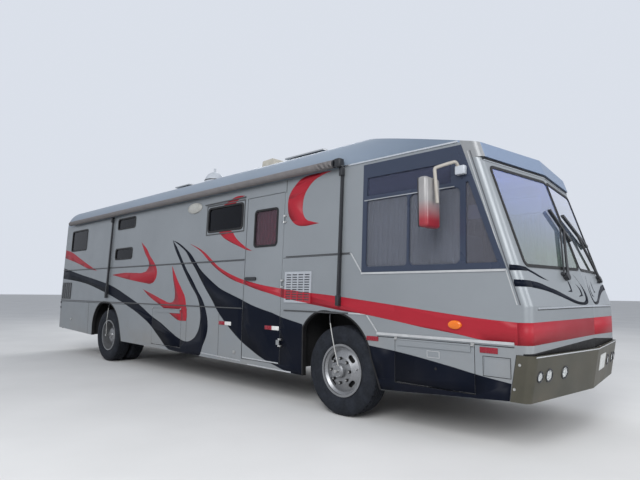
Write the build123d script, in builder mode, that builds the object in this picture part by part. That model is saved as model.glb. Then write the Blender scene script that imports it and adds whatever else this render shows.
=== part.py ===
"""Motorhome on a rear-engined bus chassis, built up from the panels and parts it is made of.

Millimetres, +Z up, +X forward, the right side of the vehicle towards -Y. The origin is on the
ground under the middle of the vehicle's length. Stations along the body are measured from the
front axle, forward positive, as a coachbuilder would mark them out.
"""

import os
from math import atan, cos, degrees, radians, sin, sqrt

from build123d import *

os.makedirs("parts", exist_ok=True)

# Overall sizes
LENGTH = 11190.0
WIDTH = 2500.0
FRONT_OVERHANG = 2340.0
WHEELBASE = 6210.0
ROOF_Z = 3345.0

# Body section
WALL = 40.0
BEND_Z = 1150.0
EAVE_DROP = 465.0
RAIL_Z = ROOF_Z - EAVE_DROP
WALL_LEAN = 0.036
COVE_WIDTH = 330.0
COVE_HEIGHT = 385.0
FLOOR_Z = 1100.0
FLOOR_THICK = 40.0
WAIST_Z = 1840.0
CAB_SILL_Z = 1620.0
PANEL_GAP = 6.0
SEAT_GAP = 0.3
MOULD_PROUD = 10.0

# Faceted front
KNEE_Z = 1290.0
FRONT_VEE = 0.116
FRONT_RAKE = 0.32
CORNER_ROUND = 70.0
VISOR_Z = RAIL_Z - 180.0
VISOR_STEP = 25.0
BUMPER_STEP = 35.0
BUMPER_TOP_Z = 870.0
BUMPER_GAP = 2.0
NOSE_BOTTOM_Z = BUMPER_TOP_Z + BUMPER_GAP
BUMPER_BOTTOM_Z = 470.0
BUMPER_TUCK = 0.17
PILLAR_FOOT_STATION = FRONT_OVERHANG - 230.0
PILLAR_TOP_STATION = FRONT_OVERHANG - 800.0
CAP_STATION = -60.0
FALL_STATION = -30.0
CAP_DROP = EAVE_DROP - 72.0
CAP_FALL = CAP_DROP / (PILLAR_TOP_STATION - FALL_STATION)
CAP_CROWN = 0.047

# Wheels and axles
TYRE_R = 505.0
TYRE_W = 275.0
RIM_R = 286.0
RIM_LIP_R = 298.0
WHEEL_Z = TYRE_R
TYRE_OUTER_Y = 1220.0
TWIN_PITCH = 315.0
KINGPIN_Y = 930.0
KINGPIN_R = 20.0
SPINDLE_R = 40.0
RUNNING_CLEARANCE = 0.05

# Doors and flaps
DOOR_REAR = -1800.0
DOOR_FRONT = -1000.0
DOOR_BOTTOM_Z = 470.0
DOOR_TOP_Z = RAIL_Z - 160.0
DOOR_SHUT_GAP = 14.0
DOOR_HEAD_GAP = 8.0
HINGE_PIN_R = 5.0
HINGE_BARREL_R = 9.0
HINGE_STAND_OFF = 13.0

HALF = WIDTH / 2
NOSE_X = LENGTH / 2 - BUMPER_STEP
FRONT_AXLE_X = NOSE_X - FRONT_OVERHANG
REAR_AXLE_X = FRONT_AXLE_X - WHEELBASE
BUMPER_REAR_X = -LENGTH / 2
BODY_REAR_X = BUMPER_REAR_X + 60.0
CORNER_X = NOSE_X - FRONT_VEE * HALF
REAR_STATION = BODY_REAR_X - FRONT_AXLE_X
SIDES = (("right", -1), ("left", 1))


def station(distance):
    """X of a place measured forward from the front axle."""
    return FRONT_AXLE_X + distance


def wall_y(z):
    """Half width of the body's outer face at a height."""
    return HALF - WALL_LEAN * max(z - BEND_Z, 0.0)


def save(piece, name):
    """Label a finished piece and write it out."""
    piece.part.label = name
    export_step(piece.part, f"parts/{name}.step")


def front_plane(side, rake, step=0.0):
    """One facet of the vee front: raked above the knee, upright below it."""
    normal = Vector(1, side * FRONT_VEE, rake)
    return Plane(origin=(NOSE_X + step, 0, KNEE_Z), z_dir=normal)


def section(inset):
    """Body section: leaning walls, a cove at each side and a crowned roof."""
    foot_y = HALF - inset
    rail_y = wall_y(RAIL_Z) - inset
    cove_y = wall_y(RAIL_Z) - COVE_WIDTH
    cove_z = RAIL_Z + COVE_HEIGHT - inset
    crown_z = ROOF_Z - inset
    with BuildSketch() as outline:
        with BuildLine():
            Polyline((0, 200), (foot_y, 200), (foot_y, BEND_Z), (rail_y, RAIL_Z))
            cove = TangentArc((rail_y, RAIL_Z), (cove_y, cove_z), tangent=(-WALL_LEAN, 1))
            ThreePointArc(cove @ 1, (cove_y / 2, (3 * crown_z + cove_z) / 4), (0, crown_z))
            Line((0, crown_z), (0, 200))
        make_face()
        mirror(about=Plane.YZ)
    return outline.sketch


def envelope(inset, step=0.0, corner=CORNER_ROUND):
    """The body as one solid from rear wall to vee front, its faces moved in by inset."""
    shrink = inset * sqrt(1 + FRONT_VEE**2 + FRONT_RAKE**2)
    with BuildPart() as body:
        with BuildSketch(Plane.YZ.offset(BODY_REAR_X + inset)):
            add(section(inset))
        extrude(amount=LENGTH)
        for side in (-1, 1):
            split(bisect_by=front_plane(side, FRONT_RAKE, step - shrink), keep=Keep.BOTTOM)
            split(bisect_by=front_plane(side, 0.0, step - inset), keep=Keep.BOTTOM)
            fall = Plane(
                origin=(station(FALL_STATION), 0, ROOF_Z - inset),
                z_dir=Vector(CAP_FALL, side * CAP_CROWN, 1),
            )
            split(bisect_by=fall, keep=Keep.BOTTOM)
        corners = body.edges().filter_by(
            lambda edge: edge.center().X > CORNER_X - 800
            and abs(edge.center().Y) > wall_y(RAIL_Z) - inset - 20
            and abs(edge.tangent_at(0.5).Z) > 0.5
        )
        fillet(corners, radius=corner)
    return body.part


def across(outline, y_low, y_high):
    """Extrude an outline drawn in X and Z between two values of Y."""
    with BuildPart() as prism:
        with BuildSketch(Plane.XZ.offset(-y_high)):
            add(outline)
        extrude(amount=y_high - y_low)
    return prism.part


def through_side(side, outline, inside=400.0, outside=200.0):
    """Prism through one side wall, from outside the body to some way inside."""
    near = side * (HALF + outside)
    far = side * (HALF - inside)
    return across(outline, min(near, far), max(near, far))


def polygon(points):
    """Filled outline through a few corner points."""
    with BuildSketch() as outline:
        with BuildLine():
            Polyline(*points, close=True)
        make_face()
    return outline.sketch


def rounded(rear, front, bottom, top, radius):
    """Rounded rectangle between two stations and two heights."""
    with BuildSketch() as outline:
        with Locations((station((rear + front) / 2), (bottom + top) / 2)):
            RectangleRounded(front - rear, top - bottom, radius)
    return outline.sketch


def plain(rear, front, bottom, top):
    """Rectangle between two stations and two heights."""
    return polygon(
        (
            (station(rear), bottom),
            (station(front), bottom),
            (station(front), top),
            (station(rear), top),
        )
    )


def wall_band(side, rear, front, bottom, top, proud, thick):
    """Slab that follows the side wall's section, its outer face proud of the wall."""
    heights = [bottom]
    if bottom < BEND_Z < top:
        heights.append(BEND_Z)
    heights.append(top)
    outer = [(side * (wall_y(z) + proud), z) for z in heights]
    inner = [(side * (wall_y(z) + proud - thick), z) for z in reversed(heights)]
    with BuildPart() as band:
        with BuildSketch(Plane.YZ.offset(station(rear))):
            with BuildLine():
                Polyline(*outer, *inner, close=True)
            make_face()
        extrude(amount=front - rear)
    return band.part


def box(x_range, y_range, z_range):
    """Plain block between two corners."""
    with BuildPart() as block:
        with Locations(
            (
                sum(x_range) / 2,
                sum(y_range) / 2,
                sum(z_range) / 2,
            )
        ):
            Box(
                x_range[1] - x_range[0],
                y_range[1] - y_range[0],
                z_range[1] - z_range[0],
            )
    return block.part


# Shell of the body, from which every outer panel is cut

FAR = LENGTH
outer_body = envelope(0.0)
inner_body = envelope(WALL, corner=CORNER_ROUND - WALL)
with BuildPart() as shell_build:
    add(outer_body)
    add(inner_body, mode=Mode.SUBTRACT)
shell = shell_build.part

with BuildPart() as visor_build:
    add(envelope(0.0, step=VISOR_STEP))
    add(envelope(WALL, step=VISOR_STEP, corner=CORNER_ROUND - WALL), mode=Mode.SUBTRACT)
visor_shell = visor_build.part


def pillar_line(z):
    """X of the joint between the side panels and the front moulding."""
    share = (z - KNEE_Z) / (RAIL_Z - KNEE_Z)
    run = PILLAR_TOP_STATION - PILLAR_FOOT_STATION
    return station(PILLAR_FOOT_STATION + max(share, 0.0) * run)


behind_pillar = polygon(
    (
        (-FAR, 0),
        (pillar_line(0), 0),
        (pillar_line(KNEE_Z), KNEE_Z),
        (pillar_line(RAIL_Z), RAIL_Z),
        (-FAR, RAIL_Z),
    )
)
cap_region = polygon(
    (
        (station(CAP_STATION), RAIL_Z),
        (pillar_line(RAIL_Z), RAIL_Z),
        (pillar_line(VISOR_Z), VISOR_Z),
        (NOSE_X + 100, VISOR_Z),
        (NOSE_X + 100, ROOF_Z + 100),
        (station(CAP_STATION), ROOF_Z + 100),
    )
)
mask_region = polygon(
    (
        (pillar_line(0), NOSE_BOTTOM_Z),
        (pillar_line(KNEE_Z), KNEE_Z),
        (pillar_line(VISOR_Z), VISOR_Z),
        (NOSE_X + 100, VISOR_Z),
        (NOSE_X + 100, NOSE_BOTTOM_Z),
    )
)

# Side windows: side, rear and front station, sill and head, corner radius
WINDOW_RADIUS = 60.0
WINDOWS = (
    (-1, REAR_STATION + 355, REAR_STATION + 1245, RAIL_Z - 610, RAIL_Z - 130),
    (-1, -6010, -5250, RAIL_Z - 290, RAIL_Z - 60),
    (-1, -6030, -5290, RAIL_Z - 890, RAIL_Z - 660),
    (-1, -2790, -1890, RAIL_Z - 590, RAIL_Z - 190),
    (1, REAR_STATION + 355, REAR_STATION + 1245, RAIL_Z - 610, RAIL_Z - 130),
    (1, -6030, -5290, RAIL_Z - 890, RAIL_Z - 660),
    (1, -4400, -3300, RAIL_Z - 690, RAIL_Z - 190),
    (1, -2400, -1000, RAIL_Z - 690, RAIL_Z - 190),
)
DOOR_WINDOW = (DOOR_REAR + 180, DOOR_FRONT - 120, DOOR_TOP_Z - 720, DOOR_TOP_Z - 190)
SEAL_WIDTH = 28.0
SEAL_PROUD = 8.0
GLASS = 8.0
GLASS_RECESS = 10.0

# Cab side window: outline of the black block and the panes in it
CAB_WINDOW_REAR = 330.0
CAB_WINDOW_TOP_Z = RAIL_Z - 30.0


def cab_outline(shrink):
    """Cab window block, its front edge along the pillar."""
    return polygon(
        (
            (station(CAB_WINDOW_REAR + shrink), CAB_SILL_Z + shrink),
            (pillar_line(CAB_SILL_Z + shrink) - shrink, CAB_SILL_Z + shrink),
            (pillar_line(CAB_WINDOW_TOP_Z - shrink) - shrink, CAB_WINDOW_TOP_Z - shrink),
            (station(CAB_WINDOW_REAR + shrink), CAB_WINDOW_TOP_Z - shrink),
        )
    )


def cab_pillar_pane(rear, sill, head, margin):
    """Pane bounded in front by the sloping pillar."""
    return polygon(
        (
            (station(rear), sill),
            (pillar_line(sill) - margin, sill),
            (pillar_line(head) - margin, head),
            (station(rear), head),
        )
    )


CAB_MARGIN = 60.0
CAB_PANE_Z = (CAB_SILL_Z + 60.0, RAIL_Z - 450.0)
CAB_PANES = (
    plain(390, 1440, RAIL_Z - 400, RAIL_Z - 190),
    rounded(390, 930, *CAB_PANE_Z, 40),
    rounded(960, 1540, *CAB_PANE_Z, 60),
    cab_pillar_pane(1600, CAB_PANE_Z[0], RAIL_Z - 410, CAB_MARGIN),
)

# Skirts below the bend, from the rear panel to the bumper: outline as station and height
REAR_PANEL = REAR_STATION + WALL
BUMPER_WRAP = (FRONT_OVERHANG - 340.0, FRONT_OVERHANG - 270.0)
BUMPER_EDGE_GAP = 8.0
SKIRT_OUTLINE = (
    (REAR_PANEL, 530),
    (10 - WHEELBASE, 445),
    (-3800, 420),
    (0, 380),
    (620, 380),
    (BUMPER_WRAP[0] - BUMPER_EDGE_GAP, BUMPER_BOTTOM_Z),
    (BUMPER_WRAP[1] - BUMPER_EDGE_GAP, NOSE_BOTTOM_Z),
    (PILLAR_FOOT_STATION, NOSE_BOTTOM_Z),
    (PILLAR_FOOT_STATION, BEND_Z),
    (REAR_PANEL, BEND_Z),
)
# Wheel arches: axle station, then from it the foot, shoulder, arc middle, crown and so on down
ARCHES = (
    (
        -WHEELBASE,
        ((-680, 300), (-680, 690), (-515, 1020), (-90, 1165), (370, 1015), (570, 750), (740, 300)),
    ),
    (
        0.0,
        ((-585, 300), (-585, 960), (-470, 1090), (-110, 1165), (290, 1035), (480, 700), (640, 300)),
    ),
)


def arch_outline(axle_station, points):
    """Wheel arch with straight feet and two arcs that meet at its crown."""
    rear_foot, rear, rear_arc, crown, front_arc, front, front_foot = [
        (station(axle_station + x), z) for x, z in points
    ]
    with BuildSketch() as outline:
        with BuildLine():
            Line(rear_foot, rear)
            ThreePointArc(rear, rear_arc, crown)
            ThreePointArc(crown, front_arc, front)
            Line(front, front_foot)
            Line(front_foot, rear_foot)
        make_face()
    return outline.sketch


FLAPS = (
    ("front_flap", 790, 1680, 480, 920),
    ("middle_flap", -4350, -3400, 480, 1090),
)
door_opening = plain(DOOR_REAR, DOOR_FRONT, DOOR_BOTTOM_Z, DOOR_TOP_Z)
door_panel = plain(
    DOOR_REAR + DOOR_SHUT_GAP,
    DOOR_FRONT - PANEL_GAP,
    DOOR_BOTTOM_Z + PANEL_GAP,
    DOOR_TOP_Z - DOOR_HEAD_GAP,
)

# Side walls above the bend

for name, side in SIDES:
    with BuildPart() as side_wall:
        add(shell)
        low, high = sorted((0, side * FAR))
        add(across(behind_pillar, low, high), mode=Mode.INTERSECT)
        add(box((BODY_REAR_X + WALL, FAR), (-FAR, FAR), (BEND_Z, RAIL_Z)), mode=Mode.INTERSECT)
        for window_side, *edges in WINDOWS:
            if window_side == side:
                opening = rounded(*edges, WINDOW_RADIUS)
                add(through_side(side, opening), mode=Mode.SUBTRACT)
        add(through_side(side, cab_outline(0.0)), mode=Mode.SUBTRACT)
        if side < 0:
            add(through_side(side, door_opening), mode=Mode.SUBTRACT)
    save(side_wall, f"{name}_wall")

# Skirts, each side one node of three panels parted by the wheel arches
skirt_panel = polygon([(station(x), z) for x, z in SKIRT_OUTLINE])
for name, side in SIDES:
    with BuildPart() as skirt:
        low, high = sorted((side * HALF, side * (HALF - WALL)))
        add(across(skirt_panel, low, high))
        for arch in ARCHES:
            add(through_side(side, arch_outline(*arch)), mode=Mode.SUBTRACT)
        for _, *edges in FLAPS:
            add(through_side(side, plain(*edges)), mode=Mode.SUBTRACT)
        if side < 0:
            add(through_side(side, door_opening), mode=Mode.SUBTRACT)
    save(skirt, f"{name}_skirt")

# Roof and its sloping front cap with the visor
with BuildPart() as roof:
    add(shell)
    add(box((-FAR, station(CAP_STATION)), (-FAR, FAR), (RAIL_Z, FAR)), mode=Mode.INTERSECT)
save(roof, "roof")

with BuildPart() as roof_cap:
    add(visor_shell)
    add(across(cap_region, -FAR, FAR), mode=Mode.INTERSECT)
save(roof_cap, "roof_cap")

# Rear wall with the engine hatch opening
HATCH_HALF_WIDTH = 800.0
HATCH_BOTTOM_Z = 720.0
HATCH_TOP_Z = 1560.0
REAR_WALL_BOTTOM_Z = 530.0
with BuildPart() as rear_wall:
    add(shell)
    add(box((-FAR, BODY_REAR_X + WALL), (-FAR, FAR), (REAR_WALL_BOTTOM_Z, RAIL_Z)), mode=Mode.INTERSECT)
    hatch_opening = box(
        (BODY_REAR_X - WALL, BODY_REAR_X + 2 * WALL),
        (-HATCH_HALF_WIDTH, HATCH_HALF_WIDTH),
        (HATCH_BOTTOM_Z, HATCH_TOP_Z),
    )
    add(hatch_opening, mode=Mode.SUBTRACT)
save(rear_wall, "rear_wall")

# Front moulding: nose, pillars and windscreen surround in one piece
SCREEN_INNER_Y = 8.0
SCREEN_BAR_SEAL = 14.0
SCREEN_OUTER_LOW_Y = 1100.0
SCREEN_OUTER_HIGH_Y = 1105.0
SCREEN_BOTTOM_Z = 1640.0
SCREEN_TOP_Z = VISOR_Z - 75.0
SCREEN_RADIUS = 70.0


def screen_outline(side, shrink, bar_shrink):
    """Windscreen half seen from the front, in Y and Z, with its own inset at the centre bar."""
    with BuildSketch() as outline:
        with BuildLine():
            FilletPolyline(
                (side * (SCREEN_INNER_Y + bar_shrink), SCREEN_BOTTOM_Z + shrink),
                (side * (SCREEN_OUTER_LOW_Y - shrink), SCREEN_BOTTOM_Z + shrink),
                (side * (SCREEN_OUTER_HIGH_Y - shrink), SCREEN_TOP_Z - shrink),
                (side * (SCREEN_INNER_Y + bar_shrink), SCREEN_TOP_Z - shrink),
                radius=SCREEN_RADIUS - shrink,
                close=True,
            )
        make_face()
    return outline.sketch


def through_front(outline):
    """Prism along X through the front of the body."""
    with BuildPart() as prism:
        with BuildSketch(Plane.YZ.offset(CORNER_X - 800)):
            add(outline)
        extrude(amount=1200)
    return prism.part


def front_layer(recess, thick):
    """Thin layer parallel to the front facets, for the glass and its seal."""
    with BuildPart() as layer:
        add(envelope(recess))
        add(envelope(recess + thick), mode=Mode.SUBTRACT)
    return layer.part


with BuildPart() as front_mask:
    add(shell)
    add(across(mask_region, -FAR, FAR), mode=Mode.INTERSECT)
    for side in (-1, 1):
        add(through_front(screen_outline(side, 0.0, 0.0)), mode=Mode.SUBTRACT)
save(front_mask, "front_mask")


def front_pieces(layer, outlines, cutouts=()):
    """Pieces of a front layer inside some outlines, less some cut-outs."""
    with BuildPart() as stencil:
        for outline in outlines:
            add(through_front(outline))
        for cutout in cutouts:
            add(through_front(cutout), mode=Mode.SUBTRACT)
    with BuildPart() as pieces:
        add(layer)
        add(stencil.part, mode=Mode.INTERSECT)
    return pieces


screen_holes = [screen_outline(side, 0.0, 0.0) for side in (-1, 1)]
screen_panes = [screen_outline(side, SEAL_WIDTH, SCREEN_BAR_SEAL) for side in (-1, 1)]
seal_layer = front_layer(-SEAL_PROUD, WALL / 2 + SEAL_PROUD)
screen_seals = front_pieces(seal_layer, screen_holes, screen_panes)
save(front_pieces(front_layer(0.0, GLASS), screen_panes), "windscreen")


# Side window rings and panes, seated in the openings of the walls
def side_piece(side, outline, proud, thick, hole=None):
    """Piece of a slab along the side wall, bounded by an outline seen from the side."""
    edges = outline.bounding_box()
    rear, front = edges.min.X - FRONT_AXLE_X - 50, edges.max.X - FRONT_AXLE_X + 50
    with BuildPart() as piece:
        add(wall_band(side, rear, front, edges.min.Y - 50, edges.max.Y + 50, proud, thick))
        add(through_side(side, outline), mode=Mode.INTERSECT)
        if hole is not None:
            add(through_side(side, hole), mode=Mode.SUBTRACT)
    return piece.part


with BuildPart() as window_seals:
    for side, *edges in WINDOWS:
        rear, front, bottom, top = edges
        pane = rounded(
            rear + SEAL_WIDTH,
            front - SEAL_WIDTH,
            bottom + SEAL_WIDTH,
            top - SEAL_WIDTH,
            WINDOW_RADIUS - SEAL_WIDTH / 2,
        )
        opening = rounded(*edges, WINDOW_RADIUS)
        add(side_piece(side, opening, SEAL_PROUD, WALL + SEAL_PROUD, pane))
    add(screen_seals.part)
save(window_seals, "window_seals")

with BuildPart() as side_windows:
    for side, rear, front, bottom, top in WINDOWS:
        pane = rounded(
            rear + SEAL_WIDTH,
            front - SEAL_WIDTH,
            bottom + SEAL_WIDTH,
            top - SEAL_WIDTH,
            WINDOW_RADIUS - SEAL_WIDTH / 2,
        )
        add(side_piece(side, pane, -GLASS_RECESS, GLASS))
    for side in (-1, 1):
        for pane in CAB_PANES:
            add(side_piece(side, pane, -GLASS_RECESS, GLASS))
save(side_windows, "side_windows")

# Cab side windows: a black block with four panes on each side
CAB_FRAME_PROUD = 4.0
with BuildPart() as cab_frames:
    for side in (-1, 1):
        add(side_piece(side, cab_outline(0.0), CAB_FRAME_PROUD, WALL + CAB_FRAME_PROUD))
        for pane in CAB_PANES:
            add(through_side(side, pane), mode=Mode.SUBTRACT)
save(cab_frames, "cab_window_frames")

# Entry door: a full-height leaf that follows the body section, hinged at its front edge on an
# axis that leans in with the upper wall
DOOR_HINGE_ZS = (750.0, 1500.0, DOOR_TOP_Z - 370.0)
HINGE_BARREL_H = 60.0
HINGE_EAR_H = 22.0
HINGE_GAP = 0.5
HINGE_ARM_T = 6.0
HINGE_ARM_REACH = 45.0
HINGE_ARM_ROOT = 12.0
door_axis_x = station(DOOR_FRONT + 2.0)
hinge_tilt = (-degrees(atan(WALL_LEAN)), 0, 0)


def door_axis_y(z):
    """Y of the door's hinge axis at a height."""
    return -(HALF + HINGE_STAND_OFF) + WALL_LEAN * (z - BEND_Z)


with BuildPart() as entry_door:
    add(wall_band(-1, DOOR_REAR, DOOR_FRONT, DOOR_BOTTOM_Z, DOOR_TOP_Z, 0.0, WALL))
    add(through_side(-1, door_panel), mode=Mode.INTERSECT)
    add(through_side(-1, rounded(*DOOR_WINDOW, WINDOW_RADIUS)), mode=Mode.SUBTRACT)
    for z in DOOR_HINGE_ZS:
        axis_y = door_axis_y(z)
        root_y = -(wall_y(z) - WALL / 2)
        with Locations(Location((door_axis_x, axis_y, z), hinge_tilt)):
            Cylinder(HINGE_BARREL_R, HINGE_BARREL_H)
        add(
            box(
                (door_axis_x - HINGE_ARM_REACH, door_axis_x - HINGE_BARREL_R / 2),
                (axis_y - HINGE_ARM_T / 2, axis_y + HINGE_ARM_T / 2),
                (z - HINGE_BARREL_H / 2, z + HINGE_BARREL_H / 2),
            )
        )
        add(
            box(
                (door_axis_x - HINGE_ARM_REACH, door_axis_x - HINGE_ARM_REACH + HINGE_ARM_ROOT),
                (axis_y - HINGE_ARM_T / 2, root_y),
                (z - HINGE_BARREL_H / 2, z + HINGE_BARREL_H / 2),
            )
        )
        with Locations(Location((door_axis_x, axis_y, z), hinge_tilt)):
            Cylinder(HINGE_PIN_R + RUNNING_CLEARANCE, 2 * HINGE_BARREL_H, mode=Mode.SUBTRACT)
save(entry_door, "entry_door")

door_window = rounded(*DOOR_WINDOW, WINDOW_RADIUS)
rear, front, bottom, top = DOOR_WINDOW
door_pane = rounded(
    rear + SEAL_WIDTH,
    front - SEAL_WIDTH,
    bottom + SEAL_WIDTH,
    top - SEAL_WIDTH,
    WINDOW_RADIUS - SEAL_WIDTH / 2,
)
with BuildPart() as door_seal:
    add(side_piece(-1, door_window, SEAL_PROUD, WALL + SEAL_PROUD, door_pane))
save(door_seal, "entry_door_seal")
with BuildPart() as door_glass:
    add(side_piece(-1, door_pane, -GLASS_RECESS, GLASS))
save(door_glass, "entry_door_window")

with BuildPart() as door_handle:
    handle_z = 1570.0
    handle_y = -wall_y(handle_z - 23)
    with Locations((station(DOOR_REAR + 160), handle_y - 12 - SEAT_GAP, handle_z)):
        Box(230, 24, 46)
    fillet(door_handle.edges().filter_by(Axis.Y), radius=20)
save(door_handle, "entry_door_handle")

# Door hinges on the body: pins held by ears above and below each barrel
with BuildPart() as door_hinges:
    for z in DOOR_HINGE_ZS:
        with Locations(Location((door_axis_x, door_axis_y(z), z), hinge_tilt)):
            Cylinder(HINGE_PIN_R, HINGE_BARREL_H + 2 * HINGE_GAP + 2 * HINGE_EAR_H)
        for end in (-1, 1):
            ear_z = z + end * (HINGE_BARREL_H / 2 + HINGE_GAP + HINGE_EAR_H / 2)
            axis_y = door_axis_y(ear_z)
            with Locations(Location((door_axis_x, axis_y, ear_z), hinge_tilt)):
                Cylinder(HINGE_BARREL_R, HINGE_EAR_H)
            wall_outer = -wall_y(ear_z - HINGE_EAR_H / 2)
            ear_reach = door_axis_x + HINGE_ARM_REACH
            add(
                box(
                    (door_axis_x, ear_reach),
                    (axis_y - HINGE_ARM_T / 2, axis_y + HINGE_ARM_T / 2),
                    (ear_z - HINGE_EAR_H / 2 + HINGE_GAP, ear_z + HINGE_EAR_H / 2 - HINGE_GAP),
                )
            )
            add(
                box(
                    (ear_reach - HINGE_ARM_ROOT, ear_reach),
                    (axis_y - HINGE_ARM_T / 2, wall_outer - 0.2),
                    (ear_z - HINGE_EAR_H / 2 + HINGE_GAP, ear_z + HINGE_EAR_H / 2 - HINGE_GAP),
                )
            )

# Locker flaps in the skirts, hung from a pin along their top edge
SWING_GAP = 10.0
FLAP_PIN_R = 5.0
FLAP_BARREL_R = 9.0
FLAP_LUG = 40.0


def flap_axis(side, top):
    """Y and Z of a flap's hinge pin."""
    return side * (HALF + FLAP_BARREL_R + 1), top + 2


for name, side in SIDES:
    for flap, rear, front, bottom, top in FLAPS:
        axis_y, axis_z = flap_axis(side, top)
        middle_x = station((rear + front) / 2)
        length = front - rear
        leaf = plain(rear + PANEL_GAP, front - PANEL_GAP, bottom + SWING_GAP, top - PANEL_GAP)
        low, high = sorted((side * HALF, side * (HALF - WALL)))
        with BuildPart() as locker_flap:
            add(across(leaf, low, high))
            with Locations(Location((middle_x, axis_y, axis_z), (0, 90, 0))):
                Cylinder(FLAP_BARREL_R, length - 2 * FLAP_LUG)
            leaf_low, leaf_high = sorted((side * HALF, axis_y + side * 3))
            add(
                box(
                    (station(rear + FLAP_LUG), station(front - FLAP_LUG)),
                    (leaf_low, leaf_high),
                    (top - 60, axis_z - 4),
                )
            )
            with Locations(Location((middle_x, axis_y, axis_z), (0, 90, 0))):
                Cylinder(FLAP_PIN_R + RUNNING_CLEARANCE, length, mode=Mode.SUBTRACT)
        save(locker_flap, f"{name}_{flap}")

with BuildPart() as flap_hinges:
    for name, side in SIDES:
        for flap, rear, front, bottom, top in FLAPS:
            axis_y, axis_z = flap_axis(side, top)
            with Locations(Location((station((rear + front) / 2), axis_y, axis_z), (0, 90, 0))):
                Cylinder(FLAP_PIN_R, front - rear)
            for end in (rear + FLAP_LUG / 2 - 2, front - FLAP_LUG / 2 + 2):
                with Locations(Location((station(end), axis_y, axis_z), (0, 90, 0))):
                    Cylinder(FLAP_BARREL_R, FLAP_LUG - 6)
                bracket_low, bracket_high = sorted((side * (HALF + 0.2), axis_y))
                add(
                    box(
                        (station(end - FLAP_LUG / 2 + 3), station(end + FLAP_LUG / 2 - 3)),
                        (bracket_low, bracket_high),
                        (axis_z, axis_z + 24),
                    )
                )

# Engine hatch in the rear wall, hung from a pin along its top edge
hatch_axis_x = BODY_REAR_X - FLAP_BARREL_R - 1
hatch_axis_z = HATCH_TOP_Z + 2
LOUVRE_ROWS = 6
LOUVRE_H = 34.0
LOUVRE_PITCH = 75.0
LOUVRE_W = 620.0
with BuildPart() as engine_hatch:
    with BuildSketch(Plane.YZ.offset(BODY_REAR_X)):
        with Locations((0, (HATCH_BOTTOM_Z + SWING_GAP + HATCH_TOP_Z - PANEL_GAP) / 2)):
            Rectangle(
                2 * (HATCH_HALF_WIDTH - PANEL_GAP),
                HATCH_TOP_Z - HATCH_BOTTOM_Z - PANEL_GAP - SWING_GAP,
            )
            with GridLocations(LOUVRE_W + 80, LOUVRE_PITCH, 2, LOUVRE_ROWS):
                RectangleRounded(LOUVRE_W, LOUVRE_H, LOUVRE_H / 2 - 1, mode=Mode.SUBTRACT)
    extrude(amount=WALL)
    hatch_length = 2 * HATCH_HALF_WIDTH - 2 * FLAP_LUG
    add(
        box(
            (hatch_axis_x - 3, BODY_REAR_X),
            (-hatch_length / 2, hatch_length / 2),
            (HATCH_TOP_Z - 60, hatch_axis_z - 4),
        )
    )
    with Locations(Location((hatch_axis_x, 0, hatch_axis_z), (90, 0, 0))):
        Cylinder(FLAP_BARREL_R, hatch_length)
        Cylinder(FLAP_PIN_R + RUNNING_CLEARANCE, hatch_length + 100, mode=Mode.SUBTRACT)
save(engine_hatch, "engine_hatch")

with BuildPart() as hatch_hinge:
    with Locations(Location((hatch_axis_x, 0, hatch_axis_z), (90, 0, 0))):
        Cylinder(FLAP_PIN_R, 2 * HATCH_HALF_WIDTH)
    for end in (-1, 1):
        lug_y = end * (HATCH_HALF_WIDTH - FLAP_LUG / 2 + 2)
        with Locations(Location((hatch_axis_x, lug_y, hatch_axis_z), (90, 0, 0))):
            Cylinder(FLAP_BARREL_R, FLAP_LUG - 6)
        add(
            box(
                (hatch_axis_x, BODY_REAR_X - 0.2),
                (lug_y - FLAP_LUG / 2 + 3, lug_y + FLAP_LUG / 2 - 3),
                (hatch_axis_z, hatch_axis_z + 30),
            )
        )
with BuildPart() as panel_hinges:
    add(door_hinges.part)
    add(flap_hinges.part)
    add(hatch_hinge.part)
save(panel_hinges, "panel_hinges")

# Front bumper: a folded sheet that follows the vee of the nose, tucked in below
BUMPER_SHEET = 30.0
BUMPER_SIDE = 8.0
BUMPER_LAMPS = ((1130.0, 42.0), (970.0, 52.0), (680.0, 52.0))
BUMPER_LAMP_Z = 690.0


def bumper_solid(inset):
    """Bumper as a solid block, its side and front faces moved in by inset."""
    side_y = HALF + BUMPER_SIDE - inset
    lower, upper = BUMPER_WRAP
    outline = polygon(
        (
            (station(lower), BUMPER_BOTTOM_Z),
            (NOSE_X + 200, BUMPER_BOTTOM_Z),
            (NOSE_X + 200, BUMPER_TOP_Z),
            (station(upper), BUMPER_TOP_Z),
        )
    )
    with BuildPart() as block:
        add(across(outline, -side_y, side_y))
        for side in (-1, 1):
            facet = Plane(
                origin=(NOSE_X + BUMPER_STEP - inset, 0, BUMPER_TOP_Z),
                z_dir=Vector(1, side * FRONT_VEE, -BUMPER_TUCK),
            )
            split(bisect_by=facet, keep=Keep.BOTTOM)
        corners = block.edges().filter_by(
            lambda edge: edge.center().X > CORNER_X - 150
            and abs(edge.center().Y) > side_y - 20
            and abs(edge.tangent_at(0.5).Z) > 0.5
        )
        fillet(corners, radius=max(CORNER_ROUND - inset, 10.0))
    return block.part


def bumper_x(y, z):
    """X of the bumper's outer face."""
    return NOSE_X + BUMPER_STEP - FRONT_VEE * abs(y) + BUMPER_TUCK * (z - BUMPER_TOP_Z)


def lamp_bores(radius_extra, depth_out, depth_in):
    """Round prisms along X at the bumper's six lamps."""
    with BuildPart() as bores:
        for side in (-1, 1):
            for y, radius in BUMPER_LAMPS:
                face_x = bumper_x(y, BUMPER_LAMP_Z)
                centre_x = face_x + (depth_out - depth_in) / 2
                with Locations(Location((centre_x, side * y, BUMPER_LAMP_Z), (0, 90, 0))):
                    Cylinder(radius + radius_extra, depth_out + depth_in)
    return bores.part


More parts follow.
